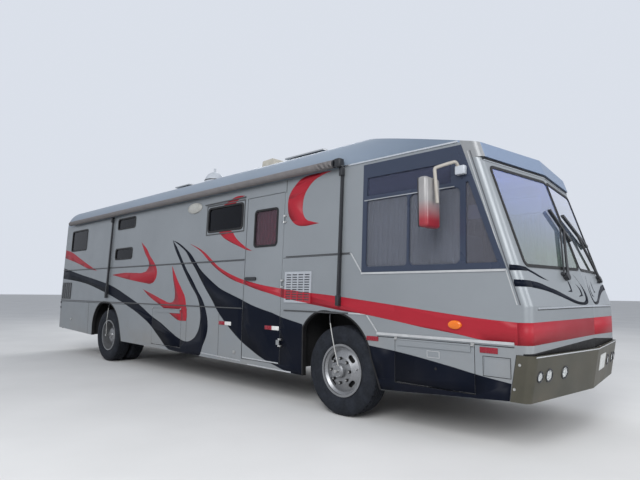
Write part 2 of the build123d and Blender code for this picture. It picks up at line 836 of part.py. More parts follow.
with BuildPart() as front_bumper:
    add(bumper_solid(0.0))
    add(bumper_solid(BUMPER_SHEET), mode=Mode.SUBTRACT)
    add(lamp_bores(0.0, 100, 100), mode=Mode.SUBTRACT)

with BuildPart() as bumper_lamps:
    add(lamp_bores(0.0, 6, 50))
save(bumper_lamps, "bumper_lamps")

# Rear bumper: a plain channel across the tail
with BuildPart() as rear_bumper:
    with BuildSketch(Plane.XZ.offset(-1180)):
        with BuildLine():
            FilletPolyline(
                (BODY_REAR_X - 0.5, 500),
                (BUMPER_REAR_X, 530),
                (BUMPER_REAR_X, 660),
                (BODY_REAR_X - 0.5, 690),
                radius=20,
            )
            Line((BODY_REAR_X - 0.5, 690), (BODY_REAR_X - 0.5, 500))
        make_face()
    extrude(amount=2360)
with BuildPart() as bumpers:
    add(front_bumper.part)
    add(rear_bumper.part)
save(bumpers, "bumpers")

# Floor, fitted inside the shell, with the stairwell cut out behind the entry door
STAIR_DEPTH = 430.0
STAIR_MARGIN = 30.0
stair_x = (station(DOOR_REAR + STAIR_MARGIN), station(DOOR_FRONT - STAIR_MARGIN))
stair_y = (-(HALF - WALL), -(HALF - WALL) + STAIR_DEPTH)
WHEEL_BOX_SHEET = 10.0
WHEEL_BOX_TOP_Z = 1185.0
WHEEL_BOX_WALL_Z = 700.0
WHEEL_BOX_FOOT_Z = 470.0
# Wheel boxes: axle station, reach behind and ahead of it, distance of the inner wall
WHEEL_BOXES = (
    (0.0, 665.0, 670.0, 600.0),
    (-WHEELBASE, 745.0, 800.0, 580.0),
)


def wheel_box_block(side, place, inset, bottom, top):
    """Block of a wheel box, its inner faces moved in by inset, open towards the wheel."""
    axle_station, behind, ahead, inner_y = place
    return box(
        (station(axle_station - behind + inset), station(axle_station + ahead - inset)),
        tuple(sorted((side * (inner_y + inset), side * (HALF + 2 * inset)))),
        (bottom, top),
    )


with BuildPart() as wheel_boxes:
    for side in (-1, 1):
        for place in WHEEL_BOXES:
            add(wheel_box_block(side, place, 0.0, WHEEL_BOX_FOOT_Z, WHEEL_BOX_TOP_Z))
    for side in (-1, 1):
        for place in WHEEL_BOXES:
            lid_z = WHEEL_BOX_TOP_Z - WHEEL_BOX_SHEET
            add(wheel_box_block(side, place, WHEEL_BOX_SHEET, 0.0, lid_z), mode=Mode.SUBTRACT)
            axle_station, behind, ahead, inner_y = place
            under = box(
                (
                    station(axle_station - behind + WHEEL_BOX_SHEET),
                    station(axle_station + ahead - WHEEL_BOX_SHEET),
                ),
                tuple(sorted((side * (inner_y - 1), side * (inner_y + WHEEL_BOX_SHEET + 1)))),
                (0.0, WHEEL_BOX_WALL_Z),
            )
            add(under, mode=Mode.SUBTRACT)
    add(inner_body, mode=Mode.INTERSECT)
save(wheel_boxes, "wheel_boxes")

with BuildPart() as floor:
    add(inner_body)
    add(box((-FAR, FAR), (-FAR, FAR), (FLOOR_Z - FLOOR_THICK, FLOOR_Z)), mode=Mode.INTERSECT)
    add(box(stair_x, (-FAR, stair_y[1]), (0, FAR)), mode=Mode.SUBTRACT)
    for side in (-1, 1):
        for place in WHEEL_BOXES:
            add(wheel_box_block(side, place, 0.0, 0.0, FAR), mode=Mode.SUBTRACT)
save(floor, "floor")

STEP_SHEET = 12.0
STEP_LOW_Z = 500.0
STEP_HIGH_Z = 780.0
with BuildPart() as entry_steps:
    with BuildSketch(Plane.YZ.offset(stair_x[0])):
        with BuildLine():
            Polyline(
                (stair_y[0] + 5, STEP_LOW_Z),
                (stair_y[0] + 215, STEP_LOW_Z),
                (stair_y[0] + 215, STEP_HIGH_Z),
                (stair_y[1], STEP_HIGH_Z),
                (stair_y[1], FLOOR_Z - FLOOR_THICK),
                (stair_y[1] + STEP_SHEET, FLOOR_Z - FLOOR_THICK),
                (stair_y[1] + STEP_SHEET, STEP_HIGH_Z - STEP_SHEET),
                (stair_y[0] + 215 + STEP_SHEET, STEP_HIGH_Z - STEP_SHEET),
                (stair_y[0] + 215 + STEP_SHEET, STEP_LOW_Z - STEP_SHEET),
                (stair_y[0] + 5, STEP_LOW_Z - STEP_SHEET),
                close=True,
            )
        make_face()
    extrude(amount=stair_x[1] - stair_x[0])
save(entry_steps, "entry_steps")

# Chassis: two channel rails with the brackets that carry the front bumper
CHASSIS_RAIL_Y = 430.0
CHASSIS_RAIL_W = 70.0
CHASSIS_RAIL_Z = (700.0, 930.0)
CHASSIS_SHEET = 12.0
CHASSIS_ENDS = (REAR_STATION + 105.0, FRONT_OVERHANG - 220.0)
with BuildPart() as chassis:
    for side in (-1, 1):
        web = side * (CHASSIS_RAIL_Y + CHASSIS_RAIL_W / 2)
        lip = side * (CHASSIS_RAIL_Y - CHASSIS_RAIL_W / 2)
        inner_web = web - side * CHASSIS_SHEET
        low, high = CHASSIS_RAIL_Z
        with BuildSketch(Plane.YZ.offset(station(CHASSIS_ENDS[0]))):
            with BuildLine():
                Polyline(
                    (web, low),
                    (web, high),
                    (lip, high),
                    (lip, high - CHASSIS_SHEET),
                    (inner_web, high - CHASSIS_SHEET),
                    (inner_web, low + CHASSIS_SHEET),
                    (lip, low + CHASSIS_SHEET),
                    (lip, low),
                    close=True,
                )
            make_face()
        extrude(amount=CHASSIS_ENDS[1] - CHASSIS_ENDS[0])
    for side in (-1, 1):
        bracket_block = box(
            (station(CHASSIS_ENDS[1]), NOSE_X),
            tuple(sorted((side * (CHASSIS_RAIL_Y - 25), side * (CHASSIS_RAIL_Y + 25)))),
            (CHASSIS_RAIL_Z[0], CHASSIS_RAIL_Z[0] + 100),
        )
        add(bumper_solid(BUMPER_SHEET + SEAT_GAP) & bracket_block)
save(chassis, "chassis_frame")

# Cross members between the rails, and outriggers on them that carry the floor
CROSS_HALF = 35.0
CROSS_Z = (760.0, 870.0)
CROSS_STATIONS = (
    CHASSIS_ENDS[0] + 50,
    -WHEELBASE - 440,
    -WHEELBASE + 460,
    -4850,
    -4000,
    -3050,
    -2100,
    -1150,
    -350,
    550,
    1350,
    CHASSIS_ENDS[1] - 40,
)
OUTRIGGER_STATIONS = (
    REAR_STATION + 255,
    REAR_STATION + 1055,
    -WHEELBASE - 840,
    -WHEELBASE + 860,
    -4400,
    -3400,
    -2420,
    -800,
    850,
    FRONT_OVERHANG - 490,
)
with BuildPart() as cross_members:
    web_y = CHASSIS_RAIL_Y + CHASSIS_RAIL_W / 2 - CHASSIS_SHEET
    for middle in CROSS_STATIONS:
        run = (station(middle - CROSS_HALF), station(middle + CROSS_HALF))
        add(box(run, (-web_y, web_y), CROSS_Z))
    for middle in OUTRIGGER_STATIONS:
        run = (station(middle - CROSS_HALF), station(middle + CROSS_HALF))
        add(box(run, (WALL - HALF, HALF - WALL), (CHASSIS_RAIL_Z[1], FLOOR_Z - FLOOR_THICK)))
save(cross_members, "chassis_cross_members")

# Axles: a dropped front beam with kingpin eyes, a banjo housing at the rear
EYE_R = 48.0
EYE_H = 110.0
with BuildPart() as front_axle:
    with BuildSketch(Plane.YZ.offset(FRONT_AXLE_X - 45)):
        with BuildLine():
            FilletPolyline(
                (-KINGPIN_Y, WHEEL_Z - 50),
                (-760, WHEEL_Z - 50),
                (-640, 400),
                (640, 400),
                (760, WHEEL_Z - 50),
                (KINGPIN_Y, WHEEL_Z - 50),
                (KINGPIN_Y, WHEEL_Z + 50),
                (740, WHEEL_Z + 50),
                (620, 490),
                (-620, 490),
                (-740, WHEEL_Z + 50),
                (-KINGPIN_Y, WHEEL_Z + 50),
                radius=15,
                close=True,
            )
        make_face()
    extrude(amount=90)
    for side in (-1, 1):
        with Locations((FRONT_AXLE_X, side * KINGPIN_Y, WHEEL_Z)):
            Cylinder(EYE_R, EYE_H)
            Cylinder(KINGPIN_R + RUNNING_CLEARANCE, 2 * EYE_H, mode=Mode.SUBTRACT)
save(front_axle, "front_axle")

HUB_INNER_Y = 985.0
EAR_H = 30.0
EAR_GAP = 1.0
SPINDLE_END_Y = 1165.0
for name, side in SIDES:
    with BuildPart() as knuckle:
        for end in (-1, 1):
            ear_z = WHEEL_Z + end * (EYE_H / 2 + EAR_GAP + EAR_H / 2)
            with Locations((FRONT_AXLE_X, side * KINGPIN_Y, ear_z)):
                Cylinder(EYE_R, EAR_H)
            low, high = sorted((side * KINGPIN_Y, side * HUB_INNER_Y))
            add(
                box(
                    (FRONT_AXLE_X - 40, FRONT_AXLE_X + 40),
                    (low, high),
                    (ear_z - EAR_H / 2, ear_z + EAR_H / 2),
                )
            )
        with Locations((FRONT_AXLE_X, side * KINGPIN_Y, WHEEL_Z)):
            Cylinder(KINGPIN_R, EYE_H + 2 * EAR_GAP + 2 * EAR_H)
        low, high = sorted((side * (KINGPIN_Y + EYE_R + 4), side * (HUB_INNER_Y + 4)))
        back_half = EYE_H / 2 + EAR_GAP + EAR_H
        with Locations(Location((FRONT_AXLE_X, (low + high) / 2, WHEEL_Z), (90, 0, 0))):
            Cylinder(back_half + 20, high - low)
        spindle_low, spindle_high = sorted((side * HUB_INNER_Y, side * SPINDLE_END_Y))
        middle = (spindle_low + spindle_high) / 2
        with Locations(Location((FRONT_AXLE_X, middle, WHEEL_Z), (90, 0, 0))):
            Cylinder(SPINDLE_R, spindle_high - spindle_low)
    save(knuckle, f"{name}_knuckle")

HOUSING_R = 75.0
BANJO_R = 215.0
REAR_SPINDLE_R = 55.0
REAR_HUB_INNER_Y = 640.0
REAR_SPINDLE_END_Y = 1080.0
with BuildPart() as rear_axle:
    with BuildSketch(Plane.XY):
        with BuildLine():
            Polyline(
                (0, -REAR_SPINDLE_END_Y),
                (REAR_SPINDLE_R, -REAR_SPINDLE_END_Y),
                (REAR_SPINDLE_R, -REAR_HUB_INNER_Y),
                (110, -REAR_HUB_INNER_Y),
                (110, -REAR_HUB_INNER_Y + 25),
                (HOUSING_R, -REAR_HUB_INNER_Y + 25),
                (HOUSING_R, -240),
                (BANJO_R, -110),
                (BANJO_R, 110),
                (HOUSING_R, 240),
                (HOUSING_R, REAR_HUB_INNER_Y - 25),
                (110, REAR_HUB_INNER_Y - 25),
                (110, REAR_HUB_INNER_Y),
                (REAR_SPINDLE_R, REAR_HUB_INNER_Y),
                (REAR_SPINDLE_R, REAR_SPINDLE_END_Y),
                (0, REAR_SPINDLE_END_Y),
                close=True,
            )
        make_face()
    revolve(axis=Axis.Y)
rear_axle.part = Pos(REAR_AXLE_X, 0, WHEEL_Z) * rear_axle.part
save(rear_axle, "rear_axle")

# Leaf springs over both axles, hung from the rails by shackles
SPRING_HALF = 620.0
SPRING_THICK = 55.0
SPRING_W = 80.0
with BuildPart() as springs:
    for axle_x, seat_z in ((FRONT_AXLE_X, 490.0), (REAR_AXLE_X, WHEEL_Z + HOUSING_R)):
        for side in (-1, 1):
            eye_z = CHASSIS_RAIL_Z[0] - 45
            with BuildSketch(Plane.XZ.offset(-side * CHASSIS_RAIL_Y - SPRING_W / 2)):
                with BuildLine():
                    ThreePointArc(
                        (axle_x - SPRING_HALF, eye_z),
                        (axle_x, seat_z),
                        (axle_x + SPRING_HALF, eye_z),
                    )
                    Line(
                        (axle_x + SPRING_HALF, eye_z),
                        (axle_x + SPRING_HALF, eye_z + 12),
                    )
                    ThreePointArc(
                        (axle_x + SPRING_HALF, eye_z + 12),
                        (axle_x, seat_z + SPRING_THICK),
                        (axle_x - SPRING_HALF, eye_z + 12),
                    )
                    Line(
                        (axle_x - SPRING_HALF, eye_z + 12),
                        (axle_x - SPRING_HALF, eye_z),
                    )
                make_face()
                for end in (-1, 1):
                    with Locations((axle_x + end * (SPRING_HALF - 20), eye_z + 22.5)):
                        Rectangle(60, 45)
            extrude(amount=SPRING_W)
save(springs, "leaf_springs")

# Wheels: outlines as radius and distance outboard of the tyre's middle plane
TYRE_OUTLINE = (
    (RIM_R, 92),
    (RIM_LIP_R + 2, 100),
    (332, 124),
    (395, TYRE_W / 2),
    (450, TYRE_W / 2 - 3),
    (488, 118),
    (TYRE_R, 96),
)
BARREL_SHEET = 11.0
FLANGE_A = 112.0
HAND_HOLE_RADIUS = 195.0
HAND_HOLES = 4
STUDS = 8
STUD_CIRCLE_R = 137.5
FRONT_DISC = ((250, 60), (215, 78), (165, 104), (150, 112), (60, 112))
REAR_DISC = ((250, -66), (215, -84), (165, -122), (150, -132), (60, -132))
DISC_SHEET = 14.0


def wheel_place(side, axle_x, middle_y):
    """Where a wheel drawn about the origin stands on the vehicle."""
    return Location((axle_x, side * middle_y, WHEEL_Z))


def spun(points, side):
    """Solid of revolution about Y from radius and outboard distance."""
    with BuildPart() as body:
        with BuildSketch(Plane.XY):
            with BuildLine():
                Polyline(*[(radius, side * out) for radius, out in points], close=True)
            make_face()
        revolve(axis=Axis.Y)
    return body.part


def tyre_solid():
    """Tyre about the origin, symmetric about its middle plane."""
    far = [(radius, -out) for radius, out in reversed(TYRE_OUTLINE)]
    return spun(list(TYRE_OUTLINE) + far, 1)


def rim_solid(side, disc, hub, bore_r, bore_from, bore_to):
    """Rim barrel with its pressed disc and the hub that carries it."""
    outer = RIM_R - 0.3
    inner = outer - BARREL_SHEET
    barrel = [
        (inner, -FLANGE_A),
        (RIM_LIP_R, -FLANGE_A),
        (RIM_LIP_R, -FLANGE_A + 9),
        (outer, -FLANGE_A + 12),
        (outer, FLANGE_A - 12),
        (RIM_LIP_R, FLANGE_A - 9),
        (RIM_LIP_R, FLANGE_A),
        (inner, FLANGE_A),
    ]
    dished = [(inner + 2, disc[0][1] + 8)] + list(disc)
    backs = [(radius, out - DISC_SHEET) for radius, out in reversed(dished)]
    with BuildPart() as rim:
        add(spun(barrel, side))
        add(spun(dished + backs, side))
        with BuildSketch(Plane.XZ.offset(200)):
            with PolarLocations(HAND_HOLE_RADIUS, HAND_HOLES, start_angle=45):
                SlotOverall(105, 44, rotation=90)
        extrude(amount=-400, mode=Mode.SUBTRACT)
        add(spun(hub, side))
        for sector in range(STUDS):
            angle = radians(sector * 360 / STUDS)
            nut_y = side * (disc[-1][1] + 10)
            with Locations(
                Location(
                    (STUD_CIRCLE_R * cos(angle), nut_y, STUD_CIRCLE_R * sin(angle)),
                    (90, 0, 0),
                )
            ):
                Cylinder(15, 22)
        low, high = sorted((side * bore_from, side * bore_to))
        with Locations(Location((0, (low + high) / 2, 0), (90, 0, 0))):
            Cylinder(bore_r, high - low, mode=Mode.SUBTRACT)
    return rim.part


FRONT_WHEEL_Y = TYRE_OUTER_Y - TYRE_W / 2
TWIN_MIDDLE_Y = (FRONT_WHEEL_Y, FRONT_WHEEL_Y - TWIN_PITCH)
front_hub_inner = HUB_INNER_Y + 6 - FRONT_WHEEL_Y
front_spindle_end = SPINDLE_END_Y + 5 - FRONT_WHEEL_Y
FRONT_HUB = (
    (0, front_hub_inner),
    (95, front_hub_inner),
    (95, 112 - DISC_SHEET),
    (112, 112 - DISC_SHEET),
    (112, 112),
    (84, 114),
    (78, 165),
    (66, 180),
    (0, 182),
)
rear_hub_inner = REAR_HUB_INNER_Y + 6 - FRONT_WHEEL_Y
rear_spindle_end = REAR_SPINDLE_END_Y + 5 - FRONT_WHEEL_Y
REAR_HUB = (
    (0, rear_hub_inner),
    (120, rear_hub_inner),
    (120, -160),
    (110, -130),
    (100, 20),
    (125, 24),
    (125, 40),
    (60, 48),
    (52, 62),
    (0, 64),
)

for name, side in SIDES:
    with BuildPart() as front_tyre:
        with Locations(wheel_place(side, FRONT_AXLE_X, FRONT_WHEEL_Y)):
            add(tyre_solid())
    save(front_tyre, f"{name}_front_tyre")
    with BuildPart() as front_rim:
        with Locations(wheel_place(side, FRONT_AXLE_X, FRONT_WHEEL_Y)):
            add(
                rim_solid(
                    side,
                    FRONT_DISC,
                    FRONT_HUB,
                    SPINDLE_R + RUNNING_CLEARANCE,
                    front_hub_inner - 20,
                    front_spindle_end,
                )
            )
    save(front_rim, f"{name}_front_rim")
    with BuildPart() as rear_tyres:
        for middle_y in TWIN_MIDDLE_Y:
            with Locations(wheel_place(side, REAR_AXLE_X, middle_y)):
                add(tyre_solid())
    save(rear_tyres, f"{name}_rear_tyres")
    inner_disc = [(radius, -out - 2 * DISC_SHEET - TWIN_PITCH) for radius, out in REAR_DISC]
    with BuildPart() as rear_rims:
        with Locations(wheel_place(side, REAR_AXLE_X, FRONT_WHEEL_Y)):
            add(
                rim_solid(
                    side,
                    REAR_DISC,
                    REAR_HUB,
                    REAR_SPINDLE_R + RUNNING_CLEARANCE,
                    rear_hub_inner - 20,
                    rear_spindle_end,
                )
            )
        with Locations(wheel_place(side, REAR_AXLE_X, TWIN_MIDDLE_Y[1])):
            inner_rim = [
                (RIM_R - 0.3 - BARREL_SHEET, -FLANGE_A),
                (RIM_LIP_R, -FLANGE_A),
                (RIM_LIP_R, -FLANGE_A + 9),
                (RIM_R - 0.3, -FLANGE_A + 12),
                (RIM_R - 0.3, FLANGE_A - 12),
                (RIM_LIP_R, FLANGE_A - 9),
                (RIM_LIP_R, FLANGE_A),
                (RIM_R - 0.3 - BARREL_SHEET, FLANGE_A),
            ]
            add(spun(inner_rim, side))
            dished = [(RIM_R - BARREL_SHEET + 1, 58)]
            dished += [(radius, -out) for radius, out in REAR_DISC]
            backs = [(radius, out + DISC_SHEET) for radius, out in reversed(dished)]
            add(spun(dished + backs, side))
    save(rear_rims, f"{name}_rear_rims")

# Awning: a roller in its case along the right-hand roof edge, with two folded arms
AWNING_ENDS = (REAR_STATION + 355.0, -60.0)
AWNING_Y = -(WIDTH / 2 + 6.0)
AWNING_Z = RAIL_Z + 44.0
AWNING_R = 50.0
ARM_STATIONS = (-6220.0, 20.0)
ARM_FOOT_Z = 1270.0
ARM_HEAD_Z = RAIL_Z - 30.0
ARM_W = 30.0
ARM_T = 24.0
with BuildPart() as awning_roller:
    with Locations(
        Location((station(sum(AWNING_ENDS) / 2), AWNING_Y, AWNING_Z), (0, 90, 0))
    ):
        Cylinder(AWNING_R, AWNING_ENDS[1] - AWNING_ENDS[0])
    valance_y = -(wall_y(RAIL_Z) - COVE_WIDTH / 3)
    add(
        box(
            (station(AWNING_ENDS[0] + 40), station(AWNING_ENDS[1] - 40)),
            (AWNING_Y, valance_y),
            (AWNING_Z + 5, AWNING_Z + 30),
        )
    )
    add(outer_body, mode=Mode.SUBTRACT)
save(awning_roller, "awning_roller")

with BuildPart() as awning_arms:
    for arm_station in ARM_STATIONS:
        foot_y = -(wall_y(ARM_FOOT_Z) + MOULD_PROUD + SEAT_GAP)
        head_y = -(wall_y(ARM_HEAD_Z) + MOULD_PROUD + SEAT_GAP)
        with BuildSketch(Plane.YZ.offset(station(arm_station) - ARM_W / 2)):
            with BuildLine():
                Polyline(
                    (foot_y, ARM_FOOT_Z),
                    (head_y, ARM_HEAD_Z),
                    (head_y - ARM_T, ARM_HEAD_Z),
                    (foot_y - ARM_T - 14, ARM_FOOT_Z + 60),
                    (foot_y - ARM_T - 14, ARM_FOOT_Z),
                    close=True,
                )
            make_face()
        extrude(amount=ARM_W)
save(awning_arms, "awning_arms")

# Roof fittings
DOME_PLACE = (-3470.0, -650.0)
DOME_R = 170.0
DOME_H = 215.0
FINIAL_R = 20.0
FINIAL_H = 75.0


def roof_z(y):
    """Height of the crowned roof's skin at a distance from the centre line."""
    cove_y = wall_y(RAIL_Z) - COVE_WIDTH
    drop = ROOF_Z - RAIL_Z - COVE_HEIGHT
    return ROOF_Z - drop * (y / cove_y) ** 2


with BuildPart() as dome:
    dome_z = roof_z(DOME_PLACE[1] - DOME_R) - 10
    with BuildSketch(Plane.XZ.offset(-DOME_PLACE[1])):
        with BuildLine():
            centre_x = station(DOME_PLACE[0])
            Line((centre_x, dome_z + DOME_H), (centre_x, dome_z))
            Line((centre_x, dome_z), (centre_x + DOME_R, dome_z))
            Line((centre_x + DOME_R, dome_z), (centre_x + DOME_R, dome_z + 40))
            ThreePointArc(
                (centre_x + DOME_R, dome_z + 40),
                (centre_x + DOME_R * 0.72, dome_z + DOME_H * 0.75),
                (centre_x, dome_z + DOME_H),
            )
        make_face()
    revolve(axis=Axis((centre_x, DOME_PLACE[1], 0), (0, 0, 1)))
    with Locations((centre_x, DOME_PLACE[1], dome_z + DOME_H + FINIAL_H / 2 - 10)):
        Cylinder(FINIAL_R, FINIAL_H)
    add(outer_body, mode=Mode.SUBTRACT)
save(dome, "roof_dome")

VENT_ENDS = (-2120.0, -1820.0)
VENT_Y = (-700.0, -400.0)
VENT_H = 150.0
with BuildPart() as roof_vent:
    rear, front = VENT_ENDS
    vent_base = roof_z(VENT_Y[0]) - 10
    with BuildSketch(Plane.XZ.offset(-VENT_Y[1])):
        with BuildLine():
            FilletPolyline(
                (station(rear), vent_base),
                (station(rear + 25), vent_base + VENT_H - 10),
                (station(front - 25), vent_base + VENT_H),
                (station(front), vent_base),
                radius=20,
            )
            Line((station(front), vent_base), (station(rear), vent_base))
        make_face()
    extrude(amount=VENT_Y[1] - VENT_Y[0])
    add(outer_body, mode=Mode.SUBTRACT)
save(roof_vent, "roof_vent")

# Two solar panels on feet: rear and front station of each
PANEL_PLACES = ((-4560.0, -4060.0), (-1480.0, -700.0))
PANEL_Y = (-790.0, -510.0)
PANEL_TOP = 68.0
PANEL_THICK = 35.0
PANEL_FOOT = 50.0
with BuildPart() as solar_panel:
    panel_z = ROOF_Z + PANEL_TOP
    for rear, front in PANEL_PLACES:
        add(
            box((station(rear), station(front)), PANEL_Y, (panel_z - PANEL_THICK, panel_z)),
        )
        for foot in (rear + 20, front - 20 - PANEL_FOOT):
            for foot_y in (PANEL_Y[0] + 15, PANEL_Y[1] - 15 - PANEL_FOOT):
                add(
                    box(
                        (station(foot), station(foot + PANEL_FOOT)),
                        (foot_y, foot_y + PANEL_FOOT),
                        (roof_z(PANEL_Y[0]) - 20, panel_z - PANEL_THICK),
                    )
                )
    add(outer_body, mode=Mode.SUBTRACT)
save(solar_panel, "solar_panel")

# Door mirrors: a bent tube from the pillar to a tall head
MIRROR_HEAD = (FRONT_OVERHANG - 990.0, -(WIDTH / 2 + 220.0), RAIL_Z - 600.0)
MIRROR_SIZE = (110.0, 260.0, 520.0)
MIRROR_TUBE_R = 13.0
MIRROR_ROOT = (FRONT_OVERHANG - 765.0, RAIL_Z - 260.0)
mirror_root_y = wall_y(MIRROR_ROOT[1])
head_station, head_y, head_z = MIRROR_HEAD
tube_x = MIRROR_SIZE[0] / 2 + MIRROR_TUBE_R + SEAT_GAP

with BuildPart() as mirror_arms:
    for side in (-1, 1):
        head_side_y = side * abs(head_y)
        root_y = side * mirror_root_y
        bracket_y = side * (wall_y(MIRROR_ROOT[1] - 80) + CAB_FRAME_PROUD + SEAT_GAP)
        with BuildLine():
            FilletPolyline(
                (station(MIRROR_ROOT[0]), root_y + side * 40, MIRROR_ROOT[1]),
                (station(MIRROR_ROOT[0]), root_y + side * 80, MIRROR_ROOT[1]),
                (station(head_station) + tube_x, head_side_y, MIRROR_ROOT[1] + 20),
                (station(head_station) + tube_x, head_side_y, head_z - 20),
                radius=36,
            )
        start = (station(MIRROR_ROOT[0]), root_y + side * 40, MIRROR_ROOT[1])
        with BuildSketch(Plane(origin=start, z_dir=(0, side, 0))):
            Circle(MIRROR_TUBE_R)
        sweep()
        add(
            box(
                (station(MIRROR_ROOT[0] - 60), station(MIRROR_ROOT[0] + 40)),
                tuple(sorted((bracket_y, root_y + side * 50))),
                (MIRROR_ROOT[1] - 80, MIRROR_ROOT[1] + 60),
            )
        )
save(mirror_arms, "mirror_arms")

with BuildPart() as mirror_heads:
    for side in (-1, 1):
        with Locations((station(head_station), side * abs(head_y), head_z)):
            Box(*MIRROR_SIZE)
    fillet(mirror_heads.edges().filter_by(Axis.X), radius=45)
    front_edges = mirror_heads.faces().filter_by(Axis.X).group_by(Axis.X)[-1].edges()
    fillet(front_edges, radius=30)
save(mirror_heads, "mirror_heads")

# Wipers: Y and Z of the spindle, the arm's end, and the upper and lower end of the blade
WIPERS = (
    ((-393.0, 1567.0), (-104.0, 2060.0), (-244.0, 2270.0), (-30.0, 1950.0)),
    ((900.0, 1567.0), (480.0, 2093.0), (60.0, 2240.0), (860.0, 1960.0)),
)
WIPER_LIFT = 34.0
WIPER_TUBE_R = 7.0
WIPER_SPREAD = 22.0
WIPER_BLADE = 24.0
WIPER_BOSS_R = 38.0


def front_x(y, z, lift=0.0):
    """X of the raked facet at a point, raised by lift along X."""
    return NOSE_X - FRONT_VEE * abs(y) - FRONT_RAKE * (z - KNEE_Z) + lift


with BuildPart() as wipers:
    for places in WIPERS:
        pivot, tip, blade_high, blade_low = [
            Vector(front_x(y, z, WIPER_LIFT), y, z) for y, z in places
        ]
        for spread in (-WIPER_SPREAD, WIPER_SPREAD):
            start = pivot + Vector(0, spread, 0)
            end = tip + Vector(0, spread / 4, 0)
            with BuildSketch(Plane(origin=start, z_dir=end - start)):
                Circle(WIPER_TUBE_R)
            extrude(amount=(end - start).length)
        run = blade_high - blade_low
        with BuildSketch(Plane(origin=blade_low, z_dir=run, x_dir=(1, 0, 0))):
            Rectangle(WIPER_BLADE, WIPER_BLADE)
        extrude(amount=run.length)
        facet_normal = Vector(1, FRONT_VEE if pivot.Y > 0 else -FRONT_VEE, FRONT_RAKE)
        boss = Vector(front_x(pivot.Y, pivot.Z, 0.3), pivot.Y, pivot.Z)
        with BuildSketch(Plane(origin=boss, z_dir=facet_normal)):
            Circle(WIPER_BOSS_R)
        extrude(amount=WIPER_LIFT + 8)
save(wipers, "wipers")

# Mouldings along the sides: first and last station, underside and height
MOULDINGS = (
    (REAR_STATION + 15, DOOR_REAR - PANEL_GAP, WAIST_Z, 12),
    (DOOR_FRONT + 70, 160, WAIST_Z, 12),
    (REAR_STATION + 15, DOOR_REAR - PANEL_GAP, BEND_Z + 2, 16),
    (DOOR_FRONT + 70, 410, BEND_Z + 2, 16),
    (560, FRONT_OVERHANG - 290, 950, 26),
    (330, FRONT_OVERHANG - 360, CAB_SILL_Z - 22, 20),
)
# Slanting mouldings that join two runs: upper and lower end as station and height
SLANTS = (
    ((166, WAIST_Z), (330, CAB_SILL_Z - 2)),
    ((416, BEND_Z - 2), (560, 978)),
)
SLANT_W = 14.0
with BuildPart() as mouldings:
    for name, side in SIDES:
        for rear, front, bottom, height in MOULDINGS:
            add(wall_band(side, rear, front, bottom, bottom + height, MOULD_PROUD, MOULD_PROUD - 0.2))
        for (rear, high), (front, low) in SLANTS:
            slant = polygon(
                (
                    (station(rear), high),
                    (station(rear + SLANT_W), high),
                    (station(front), low + SLANT_W),
                    (station(front), low),
                )
            )
            add(side_piece(side, slant, MOULD_PROUD, MOULD_PROUD - 0.2))
save(mouldings, "side_mouldings")

# Side grilles: slotted panels, by side, rear and front station, bottom and top
GRILLES = (
    (-1, -930, -450, 1260, 1650),
    (-1, REAR_STATION + 65, REAR_STATION + 575, 1190, 1560),
    (1, REAR_STATION + 65, REAR_STATION + 575, 1190, 1560),
)
GRILLE_PROUD = 12.0
GRILLE_COLUMNS = 4
GRILLE_ROWS = 11
SLOT_SIZE = (92.0, 15.0)
SLOT_PITCH = (110.0, 31.0)
with BuildPart() as grilles:
    for side, *edges in GRILLES:
        rear, front, bottom, top = edges
        add(side_piece(side, plain(*edges), GRILLE_PROUD, GRILLE_PROUD - 0.2))
        with BuildSketch() as slots:
            with Locations((station((rear + front) / 2), (bottom + top) / 2)):
                with GridLocations(*SLOT_PITCH, GRILLE_COLUMNS, GRILLE_ROWS):
                    Rectangle(*SLOT_SIZE)
        add(through_side(side, slots.sketch), mode=Mode.SUBTRACT)
save(grilles, "side_grilles")

# Lamps and reflectors: side, station, height, half length, half height
MARKERS = (
    (-1, 1485, 1100, 70, 42),
    (1, 1485, 1100, 70, 42),
    (-1, -3200, RAIL_Z - 155, 150, 80),
)
with BuildPart() as markers:
    for side, where, z, half_x, half_z in MARKERS:
        with BuildSketch() as oval:
            with Locations((station(where), z)):
                Ellipse(half_x, half_z)
        add(side_piece(side, oval.sketch, 28, 27.8))

# Reflectors: side or both, station, height, half length and half height
REFLECTORS = (
    ((-1, 1), 500, 905, 80, 24),
    ((-1, 1), FRONT_OVERHANG - 525, 890, 85, 26),
    ((1,), -1160, 925, 140, 26),
    ((-1, 1), -2200, 935, 150, 26),
)
with BuildPart() as reflectors:
    for sides, where, z, half_x, half_z in REFLECTORS:
        for side in sides:
            add(wall_band(side, where - half_x, where + half_x, z - half_z, z + half_z, 7, 6.8))
save(reflectors, "side_reflectors")

TAIL_LAMP_ZS = (860.0, 1010.0, 1160.0)
with BuildPart() as body_lamps:
    add(markers.part)
    for side in (-1, 1):
        for z in TAIL_LAMP_ZS:
            with Locations(Location((BODY_REAR_X - 12 - SEAT_GAP, side * 1060, z), (0, 90, 0))):
                Cylinder(62, 24)
save(body_lamps, "body_lamps")

